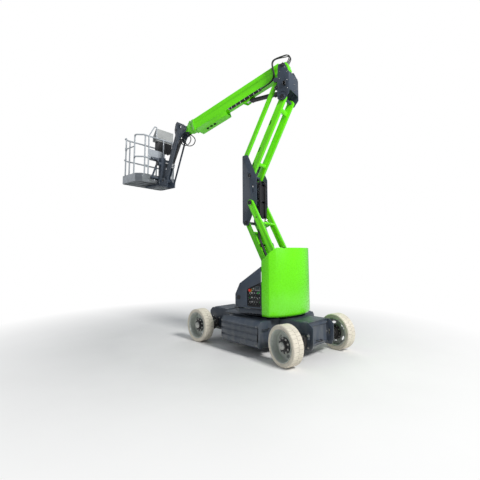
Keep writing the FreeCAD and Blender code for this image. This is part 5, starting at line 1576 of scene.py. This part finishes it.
def cylinder_rows() -> list[CylinderRow]:
    """Return the three cylinders."""
    def flat(spot: Vector) -> tuple[float, float]:
        """Return a frame point as the turret's (x, z)."""
        return (spot.x - SLEW.x, spot.z)

    return [
        CylinderRow("riser", flat(PIVOTS["riser_barrel_pivot"]), (-0.00242, 2.06383), 0.048, 0.860, -1.0),
        CylinderRow("luff", flat(PIVOTS["luff_barrel_pivot"]), (0.32795, 4.51298), 0.038, 0.650, -1.0),
        CylinderRow("jib", flat(PIVOTS["jib_barrel_pivot"]), (2.29972, 3.49302), 0.030, 0.540, 1.0),
    ]


# Riser, boom and jib


class ArmTrim:
    """Small fittings of the riser, boom, head and jib: plates, screws, pads, grommets, ties, clamps and hoses."""

    def riser(self) -> None:
        """Fit the arms' side plugs, spacer rings, the pillar's blank plate and screws."""
        low, high = PIVOTS["riser"], PIVOTS["pillar_pivot"]
        arm = bar_matrix(Vector((low.x, SLEW.y, low.z)), Vector((high.x, SLEW.y, high.z)))
        plugs, rings = [], []
        for side in Side:
            facing = Facing.LEFT if side is Side.LEFT else Facing.RIGHT
            for reach in (0.380, 1.150):
                plugs.append(facing_matrix(facing, (reach, side.value * 0.2775, 0)))
            for reach in (0.0, 1.450):
                rings.append(facing_matrix(facing, (reach, side.value * 0.2852, 0)))
        plug = turned("plug", ((0.0135, 0.0), (0.0135, 0.0060), (0.0120, 0.0085), (0.0060, 0.0085), (0.0045, 0.0060)), 20)
        fitted(moved(repeated("arm_plugs", plug, plugs), arm), BLACK, "lower_arms")
        ring = turned("ring", ((0.0275, 0.0), (0.046, 0.0), (0.047, 0.003), (0.046, 0.006), (0.0275, 0.006)), 36, True)
        fitted(moved(repeated("arm_spacers", ring, rings[:1] + rings[2:3]), arm), NYLON, "lower_arms")
        foot, head = PIVOTS["upper_arms_pivot"], PIVOTS["top_knuckle_pivot"]
        upper = bar_matrix(Vector((foot.x, SLEW.y, foot.z)), Vector((head.x, SLEW.y, head.z)))
        inlays = [block("inlay", (reach - 0.013, min(s * 0.1790, s * 0.1806), -0.0530),
                        (reach + 0.103, max(s * 0.1790, s * 0.1806), -0.0270), 0.0002, 1)
                  for reach in (0.150, 0.450, 0.960) for s in (-1, 1)]
        fitted(moved(merged("arm_slot_inlays", inlays), upper), BLACK, "upper_arms")
        for side in Side:
            word = side.name.lower()
            y = SLEW.y + side.value * 0.2152
            out = side.value
            x, z = foot.x - 0.075, foot.z - 0.560
            sign = block(f"pillar_plate_{word}", (x, min(y, y + 0.0016 * out), z), (x + 0.110, max(y, y + 0.0016 * out),
                                                                                  z + 0.070), 0.0006)
            pick_faces(sign, lambda centre, normal, out=out: normal.y * out > 0.9)
            bpy.ops.mesh.inset(thickness=0.004, depth=0.0)
            bpy.ops.mesh.inset(thickness=0.001, depth=-0.0005)
            bpy.ops.object.mode_set(mode="OBJECT")
            fitted(sign, SHEET, "pillar", "blank plate")
            facing = Facing.LEFT if out > 0 else Facing.RIGHT
            dots = [facing_matrix(facing, (foot.x + dx, y, foot.z + dz)) for dx, dz in
                    ((0.125, 0.240), (0.125, 0.060), (0.125, -0.160), (-0.050, -0.200), (0.060, 0.320), (0.125, -0.700))]
            fitted(repeated(f"pillar_screws_{word}", socket_screw(0.016), dots), BLACK, "pillar")

    def knuckle(self) -> None:
        """Fit the top knuckle's cover screws, rear bolts and a switch box."""
        pin, arm = PIVOTS["luff"], PIVOTS["top_knuckle_pivot"]
        for side in Side:
            word = side.name.lower()
            y = SLEW.y + side.value * 0.2152
            facing = Facing.LEFT if side is Side.LEFT else Facing.RIGHT
            dots = [facing_matrix(facing, (pin.x + dx, y, pin.z + dz)) for dx, dz in
                    ((-0.085, -0.150), (-0.085, -0.300), (-0.085, -0.450), (0.060, -0.100), (0.075, -0.230),
                     (-0.050, -0.060))]
            fitted(repeated(f"knuckle_screws_{word}", socket_screw(0.016), dots), ZINC, "top_knuckle")
        case = block("knuckle_switch", (pin.x - 0.060, SLEW.y + 0.2152, pin.z - 0.395),
                     (pin.x - 0.012, SLEW.y + 0.2400, pin.z - 0.315), 0.004, 3)
        pick_faces(case, lambda centre, normal: normal.y > 0.9)
        bpy.ops.mesh.inset(thickness=0.005, depth=0.0)
        bpy.ops.mesh.inset(thickness=0.002, depth=0.002)
        bpy.ops.object.mode_set(mode="OBJECT")
        fitted(case, PANEL, "top_knuckle")
        rib = [Matrix.Translation((arm.x - 0.1452, SLEW.y, arm.z + z)) @ facing_matrix(Facing.BACK, (0, 0, 0))
               for z in (0.160, 0.270, 0.380)]
        fitted(repeated("knuckle_rear_bolts", hex_bolt(0.020), rib), ZINC, "top_knuckle")

    def boom(self) -> None:
        """Fit the boom's collar screws, wear pads, tray grommets, white ties and tail plate."""
        lay = boom_matrix()
        screws = []
        for side in Side:
            facing = Facing.LEFT if side is Side.LEFT else Facing.RIGHT
            screws += [facing_matrix(facing, (2.232, side.value * 0.0932, z)) for z in (-0.085, 0.085)]
        screws += [facing_matrix(Facing.UP, (2.232, y, 0.1332)) for y in (-0.045, 0.045)]
        fitted(moved(repeated("collar_screws", hex_bolt(0.020), screws), lay), ZINC, "boom")
        pads = []
        for s in (-1, 1):
            pads.append(block("pad", (2.250, min(s * 0.0640, s * 0.0830), -0.090), (2.2655, max(s * 0.0640, s * 0.0830),
                                                                                 0.090), 0.0015))
            pads.append(block("pad", (2.250, -0.050, min(s * 0.1040, s * 0.1230)), (2.2655, 0.050,
                                                                                 max(s * 0.1040, s * 0.1230)), 0.0015))
        fitted(moved(merged("wear_pads", pads), lay), NYLON, "boom")
        ring = turned("grommet", ((0.0255, -0.0065), (0.0290, -0.0065), (0.0300, -0.0050), (0.0290, -0.0003),
                                  (0.0255, -0.0003), (0.0205, -0.0010), (0.0200, -0.0035), (0.0205, -0.0060)), 32, True)
        holes = [Matrix.Translation((1.390 + reach, 0.020, -0.222)) for reach in (0.360, 0.450, 0.547)]
        fitted(moved(repeated("tray_grommets", ring, holes), lay), HOSE, "boom")
        ties = []
        for i in range(7):
            x = 0.560 + 0.062 * (0.9 + 1.7 * i)
            tie = block("tie", (x - 0.003, 0.0605, -0.1705), (x + 0.003, 0.0868, -0.1240), 0.001, 1)
            tail = block("tail", (x - 0.0022, 0.0868, -0.170), (x + 0.0022, 0.0905, -0.156), 0.0008, 1)
            ties += [tie, tail]
        fitted(moved(merged("chain_ties", ties), lay), WHITE_INK, "boom")
        anchor = block("chain_anchor", (0.540, 0.060, -0.150), (0.566, 0.0868, -0.1252), 0.002)
        anchor_end = block("chain_anchor_end", (1.302, 0.060, -0.150), (1.330, 0.0868, -0.1252), 0.002)
        fitted(moved(merged("chain_anchors", [anchor, anchor_end]), lay), ZINC, "boom")
        tail = plate("tail_plate", ((0.110, -0.060), (0.330, -0.060), (0.330, 0.060), (0.110, 0.060)), 0.004, 0.0015)
        moved(tail, Matrix.Translation((0, 0, 0.1252)))
        pick_faces(tail, lambda centre, normal: normal.z > 0.9)
        bpy.ops.mesh.inset(thickness=0.016, depth=0.0)
        bpy.ops.mesh.inset(thickness=0.003, depth=0.0025)
        bpy.ops.object.mode_set(mode="OBJECT")
        fitted(moved(tail, lay), LIME, "boom")
        spots = [Matrix.Translation((x, y, 0.1292)) for x in (0.120, 0.320) for y in (-0.050, 0.050)]
        fitted(moved(repeated("tail_screws", socket_screw(0.012), spots), lay), ZINC, "boom")
        for side in Side:
            out = side.value
            facing = Facing.LEFT if out > 0 else Facing.RIGHT
            rivets = [facing_matrix(facing, (x, out * 0.0852, -0.098)) for x in (1.420, 1.620, 1.820, 2.020, 2.150)]
            fitted(moved(repeated(f"tray_rivets_{side.name.lower()}", socket_screw(0.011), rivets), lay), LIME, "boom")
            bolts = [facing_matrix(facing, (x, out * 0.0787, z)) for x, z in
                     ((2.292, 0.085), (2.292, 0.000), (2.292, -0.075), (2.345, 0.100))]
            fitted(moved(repeated(f"bracket_bolts_{side.name.lower()}", hex_bolt(0.018), bolts), lay), ZINC, "fly_boom")

    def head(self) -> None:
        """Fit the head's screws, and the jib's pipes and clamps."""
        pin = PIVOTS["jib"]
        for side in Side:
            out = side.value
            facing = Facing.LEFT if out > 0 else Facing.RIGHT
            y = SLEW.y + out * 0.1102
            dots = [facing_matrix(facing, (pin.x + dx, y, pin.z + dz)) for dx, dz in
                    ((-0.200, 0.085), (-0.030, 0.160), (0.022, 0.110), (-0.245, -0.020))]
            fitted(repeated(f"head_screws_{side.name.lower()}", hex_bolt(0.014), dots), ZINC, "boom_head")
        end = PIVOTS["basket_level"]
        lay = bar_matrix(Vector((pin.x, SLEW.y, pin.z)), Vector((end.x, SLEW.y, end.z)))
        clamps, screws, pipes = [], [], []
        for y in (-0.022, 0.004):
            pipes.append(bent_rod("line", [(0.310, y, 0.0425), (0.345, y, 0.052), (0.400, y, 0.052), (0.960, y, 0.052),
                                           (1.010, y, 0.052), (1.045, y, 0.0425)], 0.0060))
        for x in (0.400, 0.560, 0.720, 0.880):
            clamps.append(block("clamp", (x - 0.014, -0.036, 0.0423), (x + 0.014, 0.018, 0.0595), 0.003))
            screws.append(Matrix.Translation((x, -0.009, 0.0594)))
        fitted(moved(merged("jib_lines", pipes), lay), ZINC, "jib_arm")
        fitted(moved(merged("jib_clamps", clamps), lay), PANEL, "jib_arm")
        fitted(moved(repeated("jib_clamp_screws", hex_bolt(0.010, False), screws), lay), ZINC, "jib_arm")

    def pillar_hoses(self) -> None:
        """Run the hoses from the pillar's web over its head and down a tray clamped to its rear edges."""
        pin = PIVOTS["pillar_pivot"]
        lay = Matrix.Translation((pin.x, SLEW.y, pin.z))
        rear = -0.0951
        line = ((0.1545, 0.300), (0.110, 0.302), (0.070, 0.340), (0.020, 0.400), (-0.050, 0.430), (-0.1117, 0.420),
                (-0.1117, 0.330), (-0.1117, 0.100), (-0.1117, -0.262))
        self.bundle("pillar", line, lay, (0.020, 0.336))
        tray = [block("tray", (rear - 0.006, -0.138, -0.270), (rear - 0.0002, 0.138, 0.372), 0.001, 1)]
        tray += [block("strap", (rear - 0.006, -0.2045, z), (rear, 0.2045, z + 0.036), 0.001, 1) for z in (0.014, 0.336)]
        tray.append(block("stop", (rear - 0.032, -0.138, -0.274), (rear - 0.001, 0.138, -0.264), 0.001, 1))
        fitted(moved(merged("pillar_tray", tray), lay), PANEL, "pillar", "hose tray")

    def link_hoses(self) -> None:
        """Run the hoses on from the pillar, down the levelling link's channel, on plates that stand on its web."""
        foot, top = PIVOTS["lower_link_pivot"], PIVOTS["pillar_pivot"]
        rise = Vector((top.x - PIVOTS["riser"].x, 0.0, top.z - PIVOTS["riser"].z))
        start = Vector((foot.x, SLEW.y, foot.z))
        lay = bar_matrix(start, start + rise)
        line = ((1.426, 0.244), (1.370, 0.215), (1.220, 0.105), (1.090, 0.055), (0.700, 0.055), (0.118, 0.055))
        self.bundle("lower_link", line, lay, ())
        plates = [block("rest", (reach - 0.004, -0.1375, -0.0302), (reach + 0.004, 0.1375, 0.0447), 0.001, 1)
                  for reach in (0.250, 0.500, 0.750, 1.000)]
        plates += [block("clip", (reach - 0.012, s * 0.0990 - 0.038, 0.0652), (reach + 0.012, s * 0.0990 + 0.038, 0.0680),
                         0.001, 1) for reach in (0.250, 0.500, 0.750, 1.000) for s in (-1, 1)]
        fitted(moved(merged("link_hose_rests", plates), lay), PANEL, "lower_link")

    def bundle(self, body: str, line: Sequence[tuple[float, float]], lay: Matrix, clamps: Sequence[float]) -> None:
        """Lay six hoses side by side along one line, with a clamp over each three of them.

        Args:
            body: the frame body that carries them.
            line: reach and height of the line's points.
            lay: matrix that places the line.
            clamps: heights of the clamps' lower edges.
        """
        hoses, steel, bars = [], [], []
        for s in (-1, 1):
            for y in (0.076, 0.099, 0.122):
                hoses.append(bent_rod("hose", [(x, s * y, z) for x, z in line], 0.0105, 12))
                tip = Matrix.Translation((line[0][0], s * y, line[0][1])) @ facing_matrix(Facing.BACK, (0, 0, 0))
                steel.append(moved(turned("ferrule", ((0.0125, -0.001), (0.0125, 0.010), (0.0115, 0.012), (0.0115, 0.034),
                                                      (0.0108, 0.035)), 16), tip))
            for z in clamps:
                bars.append(block("clamp", (line[-1][0] - 0.0155, min(s * 0.060, s * 0.138), z),
                                  (line[-1][0] + 0.0108, max(s * 0.060, s * 0.138), z + 0.030), 0.003))
        fitted(moved(merged(f"{body}_hoses", hoses), lay), HOSE, body, "six clamped hoses")
        fitted(moved(merged(f"{body}_ferrules", steel), lay), ZINC, body)
        if bars:
            fitted(moved(merged(f"{body}_clamps", bars), lay), BLACK, body)

    def slack(self, name: str, points: Sequence[Point], radius: float, body: str) -> None:
        """Hang a free hose, both of whose ends are fixed.

        Args:
            name: the piece's name.
            points: its control points in the frame.
            radius: of the hose.
            body: the frame body that holds its ends.
        """
        hose = fitted(smooth_line(name, points, radius, 3, 3), HOSE, body, "free loop of hose")

    def head_hoses(self) -> None:
        """Hang a loop of hose behind each of the head's plates, from a saddle at its top to one at its foot."""
        pin = PIVOTS["boom_head_level"]
        line = ((0.070, -0.040), (0.000, -0.066), (-0.100, -0.130), (-0.170, -0.235), (-0.100, -0.345), (0.030, -0.350),
                (0.120, -0.270), (0.160, -0.155))
        saddles = []
        for side, size, length in ((Side.LEFT, 1.0, 0.787), (Side.RIGHT, 0.9, 0.719)):
            y = SLEW.y + side.value * 0.0800
            points = [Vector((pin.x + (x if x > 0.04 else x * size), y, pin.z + (z if x > 0.04 else z * size)))
                      for x, z in line]
            self.slack(f"head_hose_{side.name.lower()}", points, 0.0100, "boom_head")
            for spot in (points[0], points[-1]):
                near, far = sorted((SLEW.y + side.value * 0.0680, SLEW.y + side.value * 0.0969))
                saddles.append(block("saddle", (spot.x - 0.014, near, spot.z - 0.014),
                                     (spot.x + 0.014, far, spot.z + 0.014), 0.003))
        fitted(merged("head_saddles", saddles), ZINC, "boom_head")

    def foot_hoses(self) -> None:
        """Arch three hoses from the boom's tail over its foot and down its near side to the energy chain."""
        lay = boom_matrix()
        fittings = []
        lays = ((0.020, 0.100, 0.228, 1.14), (-0.018, 0.123, 0.219, 1.13), (0.056, 0.146, 0.210, 1.12))
        for number, (tail, lane, rise, length) in enumerate(lays):
            bend = 0.5 * (rise - 0.064)
            back = [(-0.055 + bend * math.cos(a), tail, rise - bend + bend * math.sin(a))
                    for a in map(math.radians, (239, 205, 170, 130, 90))]
            over = [(0.090 + 0.110 * math.cos(a), lane, rise - 0.110 + 0.110 * math.sin(a))
                    for a in map(math.radians, (60, 30, 0))]
            line = ((-0.0490, tail, 0.0450), *back, (0.040, 0.5 * (tail + lane), rise), *over, (0.212, lane, 0.010),
                    (0.219, lane, -0.070), (0.254, 0.75 * lane + 0.0184, -0.120), (0.310, 0.40 * lane + 0.0441, -0.146),
                    (0.440, 0.0735, -0.148), (0.5595, 0.0735, -0.148))
            points = [lay @ Vector(point) for point in line]
            self.slack(f"foot_hose_{number + 1}", points, 0.0088, "boom")
            fittings.append(Matrix.Translation(line[0]) @ Matrix.Rotation(math.radians(-59), 4, "Y"))
        nut = turned("nut", ((0.0155, -0.0010), (0.0155, 0.012), (0.0140, 0.014), (0.0120, 0.014), (0.0120, 0.030),
                             (0.0100, 0.031)), 6, smooth=10.0)
        fitted(moved(repeated("foot_fittings", nut, fittings), lay), ZINC, "boom")

    def build(self) -> None:
        """Fit out the arms."""
        self.riser()
        self.knuckle()
        self.boom()
        self.head()
        self.pillar_hoses()
        self.link_hoses()
        self.head_hoses()
        self.foot_hoses()


# Basket


@dataclass
class BasketTrim:
    """Grip floor, rolled toe board, post feet, rail collars, console face, foot switch and mast fittings."""

    rear: float = 0.120
    depth: float = 0.680
    half: float = 0.550
    floor: float = 3.19294
    height: float = 1.045
    mid: float = 0.525
    inset: float = 0.0203
    corner: float = 0.110
    matrix: Matrix = None

    def put(self, piece: bpy.types.Object, finish: Finish, body: str = "basket") -> None:
        """Turn a piece to the basket and fit it."""
        fitted(moved(piece, self.matrix), finish, body)

    def plan(self, inset: float, corner: float) -> list[tuple[float, float]]:
        """Return the basket's plan with chamfered corners, inset from its outside."""
        x0, x1, half = self.rear + inset, self.rear + self.depth - inset, self.half - inset
        return [(x0 + corner, -half), (x1 - corner / 2, -half), (x1, -half + corner / 2), (x1, half - corner / 2),
                (x1 - corner / 2, half), (x0 + corner, half), (x0, half - corner), (x0, -half + corner)]

    def base(self) -> None:
        """Lay the grip sheet and roll the toe board's top edge."""
        grip = plate("grip_floor", self.plan(0.006, 0.108), 0.003, 0.001)
        self.put(moved(grip, Matrix.Translation((0, 0, self.floor + 0.0002))), GRIP)
        z = self.floor + 0.145
        ring = [(x, y, z) for x, y in self.plan(0.0022, 0.1092)]
        lip = bent_rod("toe_board_roll", ring + ring[:1], 0.0042, order=2)
        self.put(lip, SHEET)
        rivets = []
        for x in (0.24, 0.40, 0.56, 0.72):
            for s in (-1, 1):
                facing = Facing.LEFT if s > 0 else Facing.RIGHT
                rivets += [facing_matrix(facing, (x, s * 0.5502, self.floor + dz)) for dz in (0.022, 0.122)]
        for y in (-0.40, -0.20, 0.0, 0.20, 0.40):
            rivets += [facing_matrix(facing, (x, y, self.floor + 0.022)) for x, facing in
                       ((0.1198, Facing.BACK), (0.8002, Facing.AHEAD))]
        self.put(repeated("toe_board_rivets", socket_screw(0.010), rivets), ZINC)

    def posts(self) -> list[tuple[float, float]]:
        """Return where the rail posts stand."""
        x0, x1, half, c = self.rear + self.inset, self.rear + self.depth - self.inset, self.half - self.inset, self.corner
        return [(x0, half - c - 0.040), (x0, -half + c + 0.040), (x0 + c + 0.040, -half), (x1 - c * 1.5, -half),
                (x1, -half + c * 0.5 + 0.100), (x1, half - c * 0.5 - 0.100), (self.rear + 0.30 * self.depth, half),
                (self.rear + 0.82 * self.depth, half), (x0, -0.110), (x0, 0.285)]

    def rails(self) -> None:
        """Fit bolted feet to the posts and welded collars under the rails."""
        foot = turned("foot", ((0.030, 0.0), (0.031, 0.003), (0.029, 0.006), (0.0205, 0.007), (0.0180, 0.014),
                               (0.0162, 0.014)), 24)
        spots = [Matrix.Translation((x, y, self.floor + 0.0032)) for x, y in self.posts()]
        self.put(repeated("post_feet", foot, spots), RAIL)
        bead = turned("bead", ((0.0162, 0.0), (0.0195, 0.0015), (0.0202, 0.0045), (0.0185, 0.0075), (0.0162, 0.009)), 20,
                      True)
        marks = [Matrix.Translation((x, y, self.floor + z - 0.0245)) for x, y in self.posts()
                 for z in (self.mid, self.height - 0.017)]
        self.put(repeated("post_beads", bead, marks), RAIL)
        stop = turned("stop", ((0.010, 0.0), (0.012, 0.004), (0.012, 0.014), (0.008, 0.019)), 20)
        x = self.rear + 0.30 * self.depth
        lay = facing_matrix(Facing.BACK, (x + 0.0358, self.half - self.inset, self.floor + self.mid + 0.250))
        self.put(moved(stop, lay), HOSE, "entry_bar")

    def console(self) -> None:
        """Dress the console: sloped key plate, sticks' boots, buttons, stop, back screws and seams."""
        x0 = self.rear + self.inset + 0.0173
        z = self.floor + self.height
        y0, y1 = -0.404, 0.066
        slope = math.atan2(0.175, -0.120)
        face = Matrix.Translation((x0 + 0.100, (y0 + y1) / 2, z + 0.1475)) @ Matrix.Rotation(-slope + math.pi, 4, "Y")
        keys = plate("console_face", ((-0.082, -0.205), (0.082, -0.205), (0.082, 0.205), (-0.082, 0.205)), 0.004, 0.0015)
        pick_faces(keys, lambda centre, normal: normal.z > 0.9)
        bpy.ops.mesh.inset(thickness=0.006, depth=0.0)
        bpy.ops.mesh.inset(thickness=0.002, depth=-0.001)
        bpy.ops.object.mode_set(mode="OBJECT")
        up = face @ Matrix.Translation((0, 0, -0.001))
        self.put(moved(keys, up), PANEL)
        marks, buttons = [], []
        glyphs = SuperstructureTrim()
        for row in range(3):
            for column in range(7):
                spot = Matrix.Translation((-0.050 + 0.045 * row, -0.165 + 0.055 * column, 0.0022))
                turn = Matrix.Rotation(math.radians(90), 4, "Z")
                marks.append(moved(glyphs.glyph(row + column, 0.014), up @ spot @ turn))
                if (row + column) % 2 == 0:
                    buttons.append(up @ spot @ Matrix.Translation((0.019, 0, 0.0)))
        self.put(merged("console_marks", marks), WHITE_INK)
        button = turned("button", ((0.0075, 0.0), (0.0075, 0.003), (0.0068, 0.0045), (0.0055, 0.0045), (0.0050, 0.0038)),
                        18)
        self.put(repeated("console_buttons", button, buttons), YELLOW_CAP)
        boots = []
        for y in (y0 + 0.090, y0 + 0.220):
            boot = turned("boot", ((0.034, -0.062), (0.035, -0.052), (0.026, -0.044), (0.029, -0.038), (0.021, -0.030),
                                   (0.024, -0.024), (0.016, -0.016), (0.018, -0.010), (0.0105, -0.002),
                                   (0.0098, 0.004)), 28)
            knob = turned("knob", ((0.0098, 0.012), (0.014, 0.018), (0.0165, 0.034), (0.0175, 0.052), (0.0165, 0.062),
                                   (0.010, 0.069), (0.004, 0.070)), 26)
            boots += [moved(piece, Matrix.Translation((x0 + 0.134, y, z + 0.048))) for piece in (boot, knob)]
        self.put(merged("console_sticks", boots), HOSE)
        ring = turned("console_stop", ((0.0185, 0.066), (0.0235, 0.069), (0.0240, 0.074), (0.0220, 0.081), (0.012, 0.086),
                                       (0.004, 0.087)), 32)
        self.put(moved(ring, Matrix.Translation((x0 + 0.134, y1 - 0.060, z + 0.012))), RED_CAP)
        case = block("console_case", (x0 + 0.0025, y0 + 0.0385, z - 0.2912), (x0 + 0.1215, y1 - 0.0385, z - 0.0595), 0.004)
        self.put(case, PANEL)
        back = [facing_matrix(Facing.BACK, (x0 - 0.0002, y, z + dz)) for y in (y0 + 0.025, (y0 + y1) / 2, y1 - 0.025)
                for dz in (0.030, 0.215)]
        self.put(repeated("console_back_screws", socket_screw(0.010), back), ZINC)
        for name, y, facing in (("left", y1, Facing.LEFT), ("right", y0, Facing.RIGHT)):
            vents = [facing_matrix(facing, (x0 + 0.030 + 0.016 * i, y, z - 0.020)) for i in range(6)]
            slat = plate("slat", ((-0.0045, -0.030), (0.0045, -0.030), (0.0045, 0.030), (-0.0045, 0.030)), 0.0018, 0.0008)
            self.put(repeated(f"console_vents_{name}", slat, vents), PANEL)
        gland = turned("gland", ((0.016, 0.0), (0.016, 0.008), (0.013, 0.010), (0.012, 0.020), (0.009, 0.024),
                                 (0.0085, 0.034)), 18)
        down = [Matrix.Translation((x0 + 0.060, y, z - 0.2898)) @ Matrix.Rotation(math.pi, 4, "X") for y in
                (y0 + 0.110, y0 + 0.190, y1 - 0.110)]
        self.put(repeated("console_glands", gland, down), HOSE)
        plug = turned("socket", ((0.026, 0.0), (0.028, 0.003), (0.028, 0.016), (0.024, 0.020), (0.016, 0.021),
                                 (0.014, 0.014)), 28)
        self.put(moved(plug, facing_matrix(Facing.AHEAD, (x0 + 0.1202, y0 + 0.120, z - 0.180))), HOSE)

    def foot_switch(self) -> None:
        """Set the guarded foot switch on the floor."""
        x, y, z = self.rear + 0.230, -0.250, self.floor + 0.0034
        tray = block("foot_tray", (x, y - 0.085, z), (x + 0.180, y + 0.085, z + 0.016), 0.004, 3)
        hood = [block("wall", (x, y + s * 0.083 - 0.003, z + 0.010), (x + 0.090, y + s * 0.083 + 0.003, z + 0.100), 0.002)
                for s in (-1, 1)]
        hood.append(block("roof", (x, y - 0.086, z + 0.096), (x + 0.100, y + 0.086, z + 0.103), 0.003))
        self.put(merged("foot_guard", [tray] + hood), YELLOW_CAP)
        pedal = block("foot_pedal", (x + 0.030, y - 0.060, z + 0.020), (x + 0.165, y + 0.060, z + 0.030), 0.003, 2)
        ribs = [block("rib", (x + 0.050 + 0.018 * i, y - 0.050, z + 0.0295), (x + 0.057 + 0.018 * i, y + 0.050, z + 0.033),
                      0.0012, 1) for i in range(6)]
        self.put(merged("foot_pedal", [pedal] + ribs), HOSE)

    def mast(self) -> None:
        """Fit the rotator's bolts, the motor's end caps and the beam's screws."""
        level = PIVOTS["basket_level"].z
        bolts = [Matrix.Rotation(math.tau * i / 8, 4, "Z") @ Matrix.Translation((0.054, 0, level + 0.0463))
                 for i in range(8) if i not in (0, 1, 7)]
        self.put(repeated("rotator_bolts", hex_bolt(0.014), bolts), ZINC)
        caps = []
        for s, facing in ((1, Facing.LEFT), (-1, Facing.RIGHT)):
            cap = turned("motor_cap", ((0.046, 0.0), (0.050, 0.002), (0.050, 0.014), (0.046, 0.017), (0.030, 0.018),
                                       (0.026, 0.026), (0.014, 0.027)), 36)
            caps.append(moved(cap, facing_matrix(facing, (0.016, s * 0.1252, level + 0.400))))
        for i in range(5):
            fin = turned("fin", ((0.0455, 0.0), (0.0505, 0.0005), (0.0505, 0.0045), (0.0455, 0.005)), 36, True)
            side = -0.110 + 0.012 * i
            caps.append(moved(fin, facing_matrix(Facing.LEFT, (0.016, side, level + 0.400))))
        self.put(merged("mast_motor", caps), BARREL)
        screws = []
        for s, facing in ((1, Facing.LEFT), (-1, Facing.RIGHT)):
            screws += [facing_matrix(facing, (0.016 + 0.038 * math.cos(a), s * 0.142, level + 0.400 + 0.038 * math.sin(a)))
                       for a in (math.tau * (i + 0.5) / 4 for i in range(4))]
        self.put(repeated("mast_motor_screws", socket_screw(0.008), screws), ZINC)
        lower = [Matrix.Rotation(math.tau * i / 8, 4, "Z") @ Matrix.Translation((0.0595, 0, level - 0.1098))
                 @ Matrix.Rotation(math.pi, 4, "X") for i in range(8)]
        self.put(repeated("rotator_foot_bolts", hex_bolt(0.012, False), lower), ZINC, "basket_support")

    def build(self) -> None:
        """Fit out the basket."""
        self.matrix = basket_matrix()
        self.base()
        self.rails()
        self.console()
        self.foot_switch()
        self.mast()


def main() -> None:
    """Build the studio and every sub-assembly, in order."""
    body_of = {node: body for body, members in frame["record"]["behaviour"]["bodies"].items() for node in members}
    Studio().build()
    FrameSkins(body_of).build()
    Wheel().build()
    PinCaps().build(cap_rows())
    ChassisTrim().build()
    SuperstructureTrim().build()
    CylinderTrim().build(cylinder_rows())
    ArmTrim().build()
    BasketTrim().build()
    deselect()


if __name__ == "__main__":
    main()
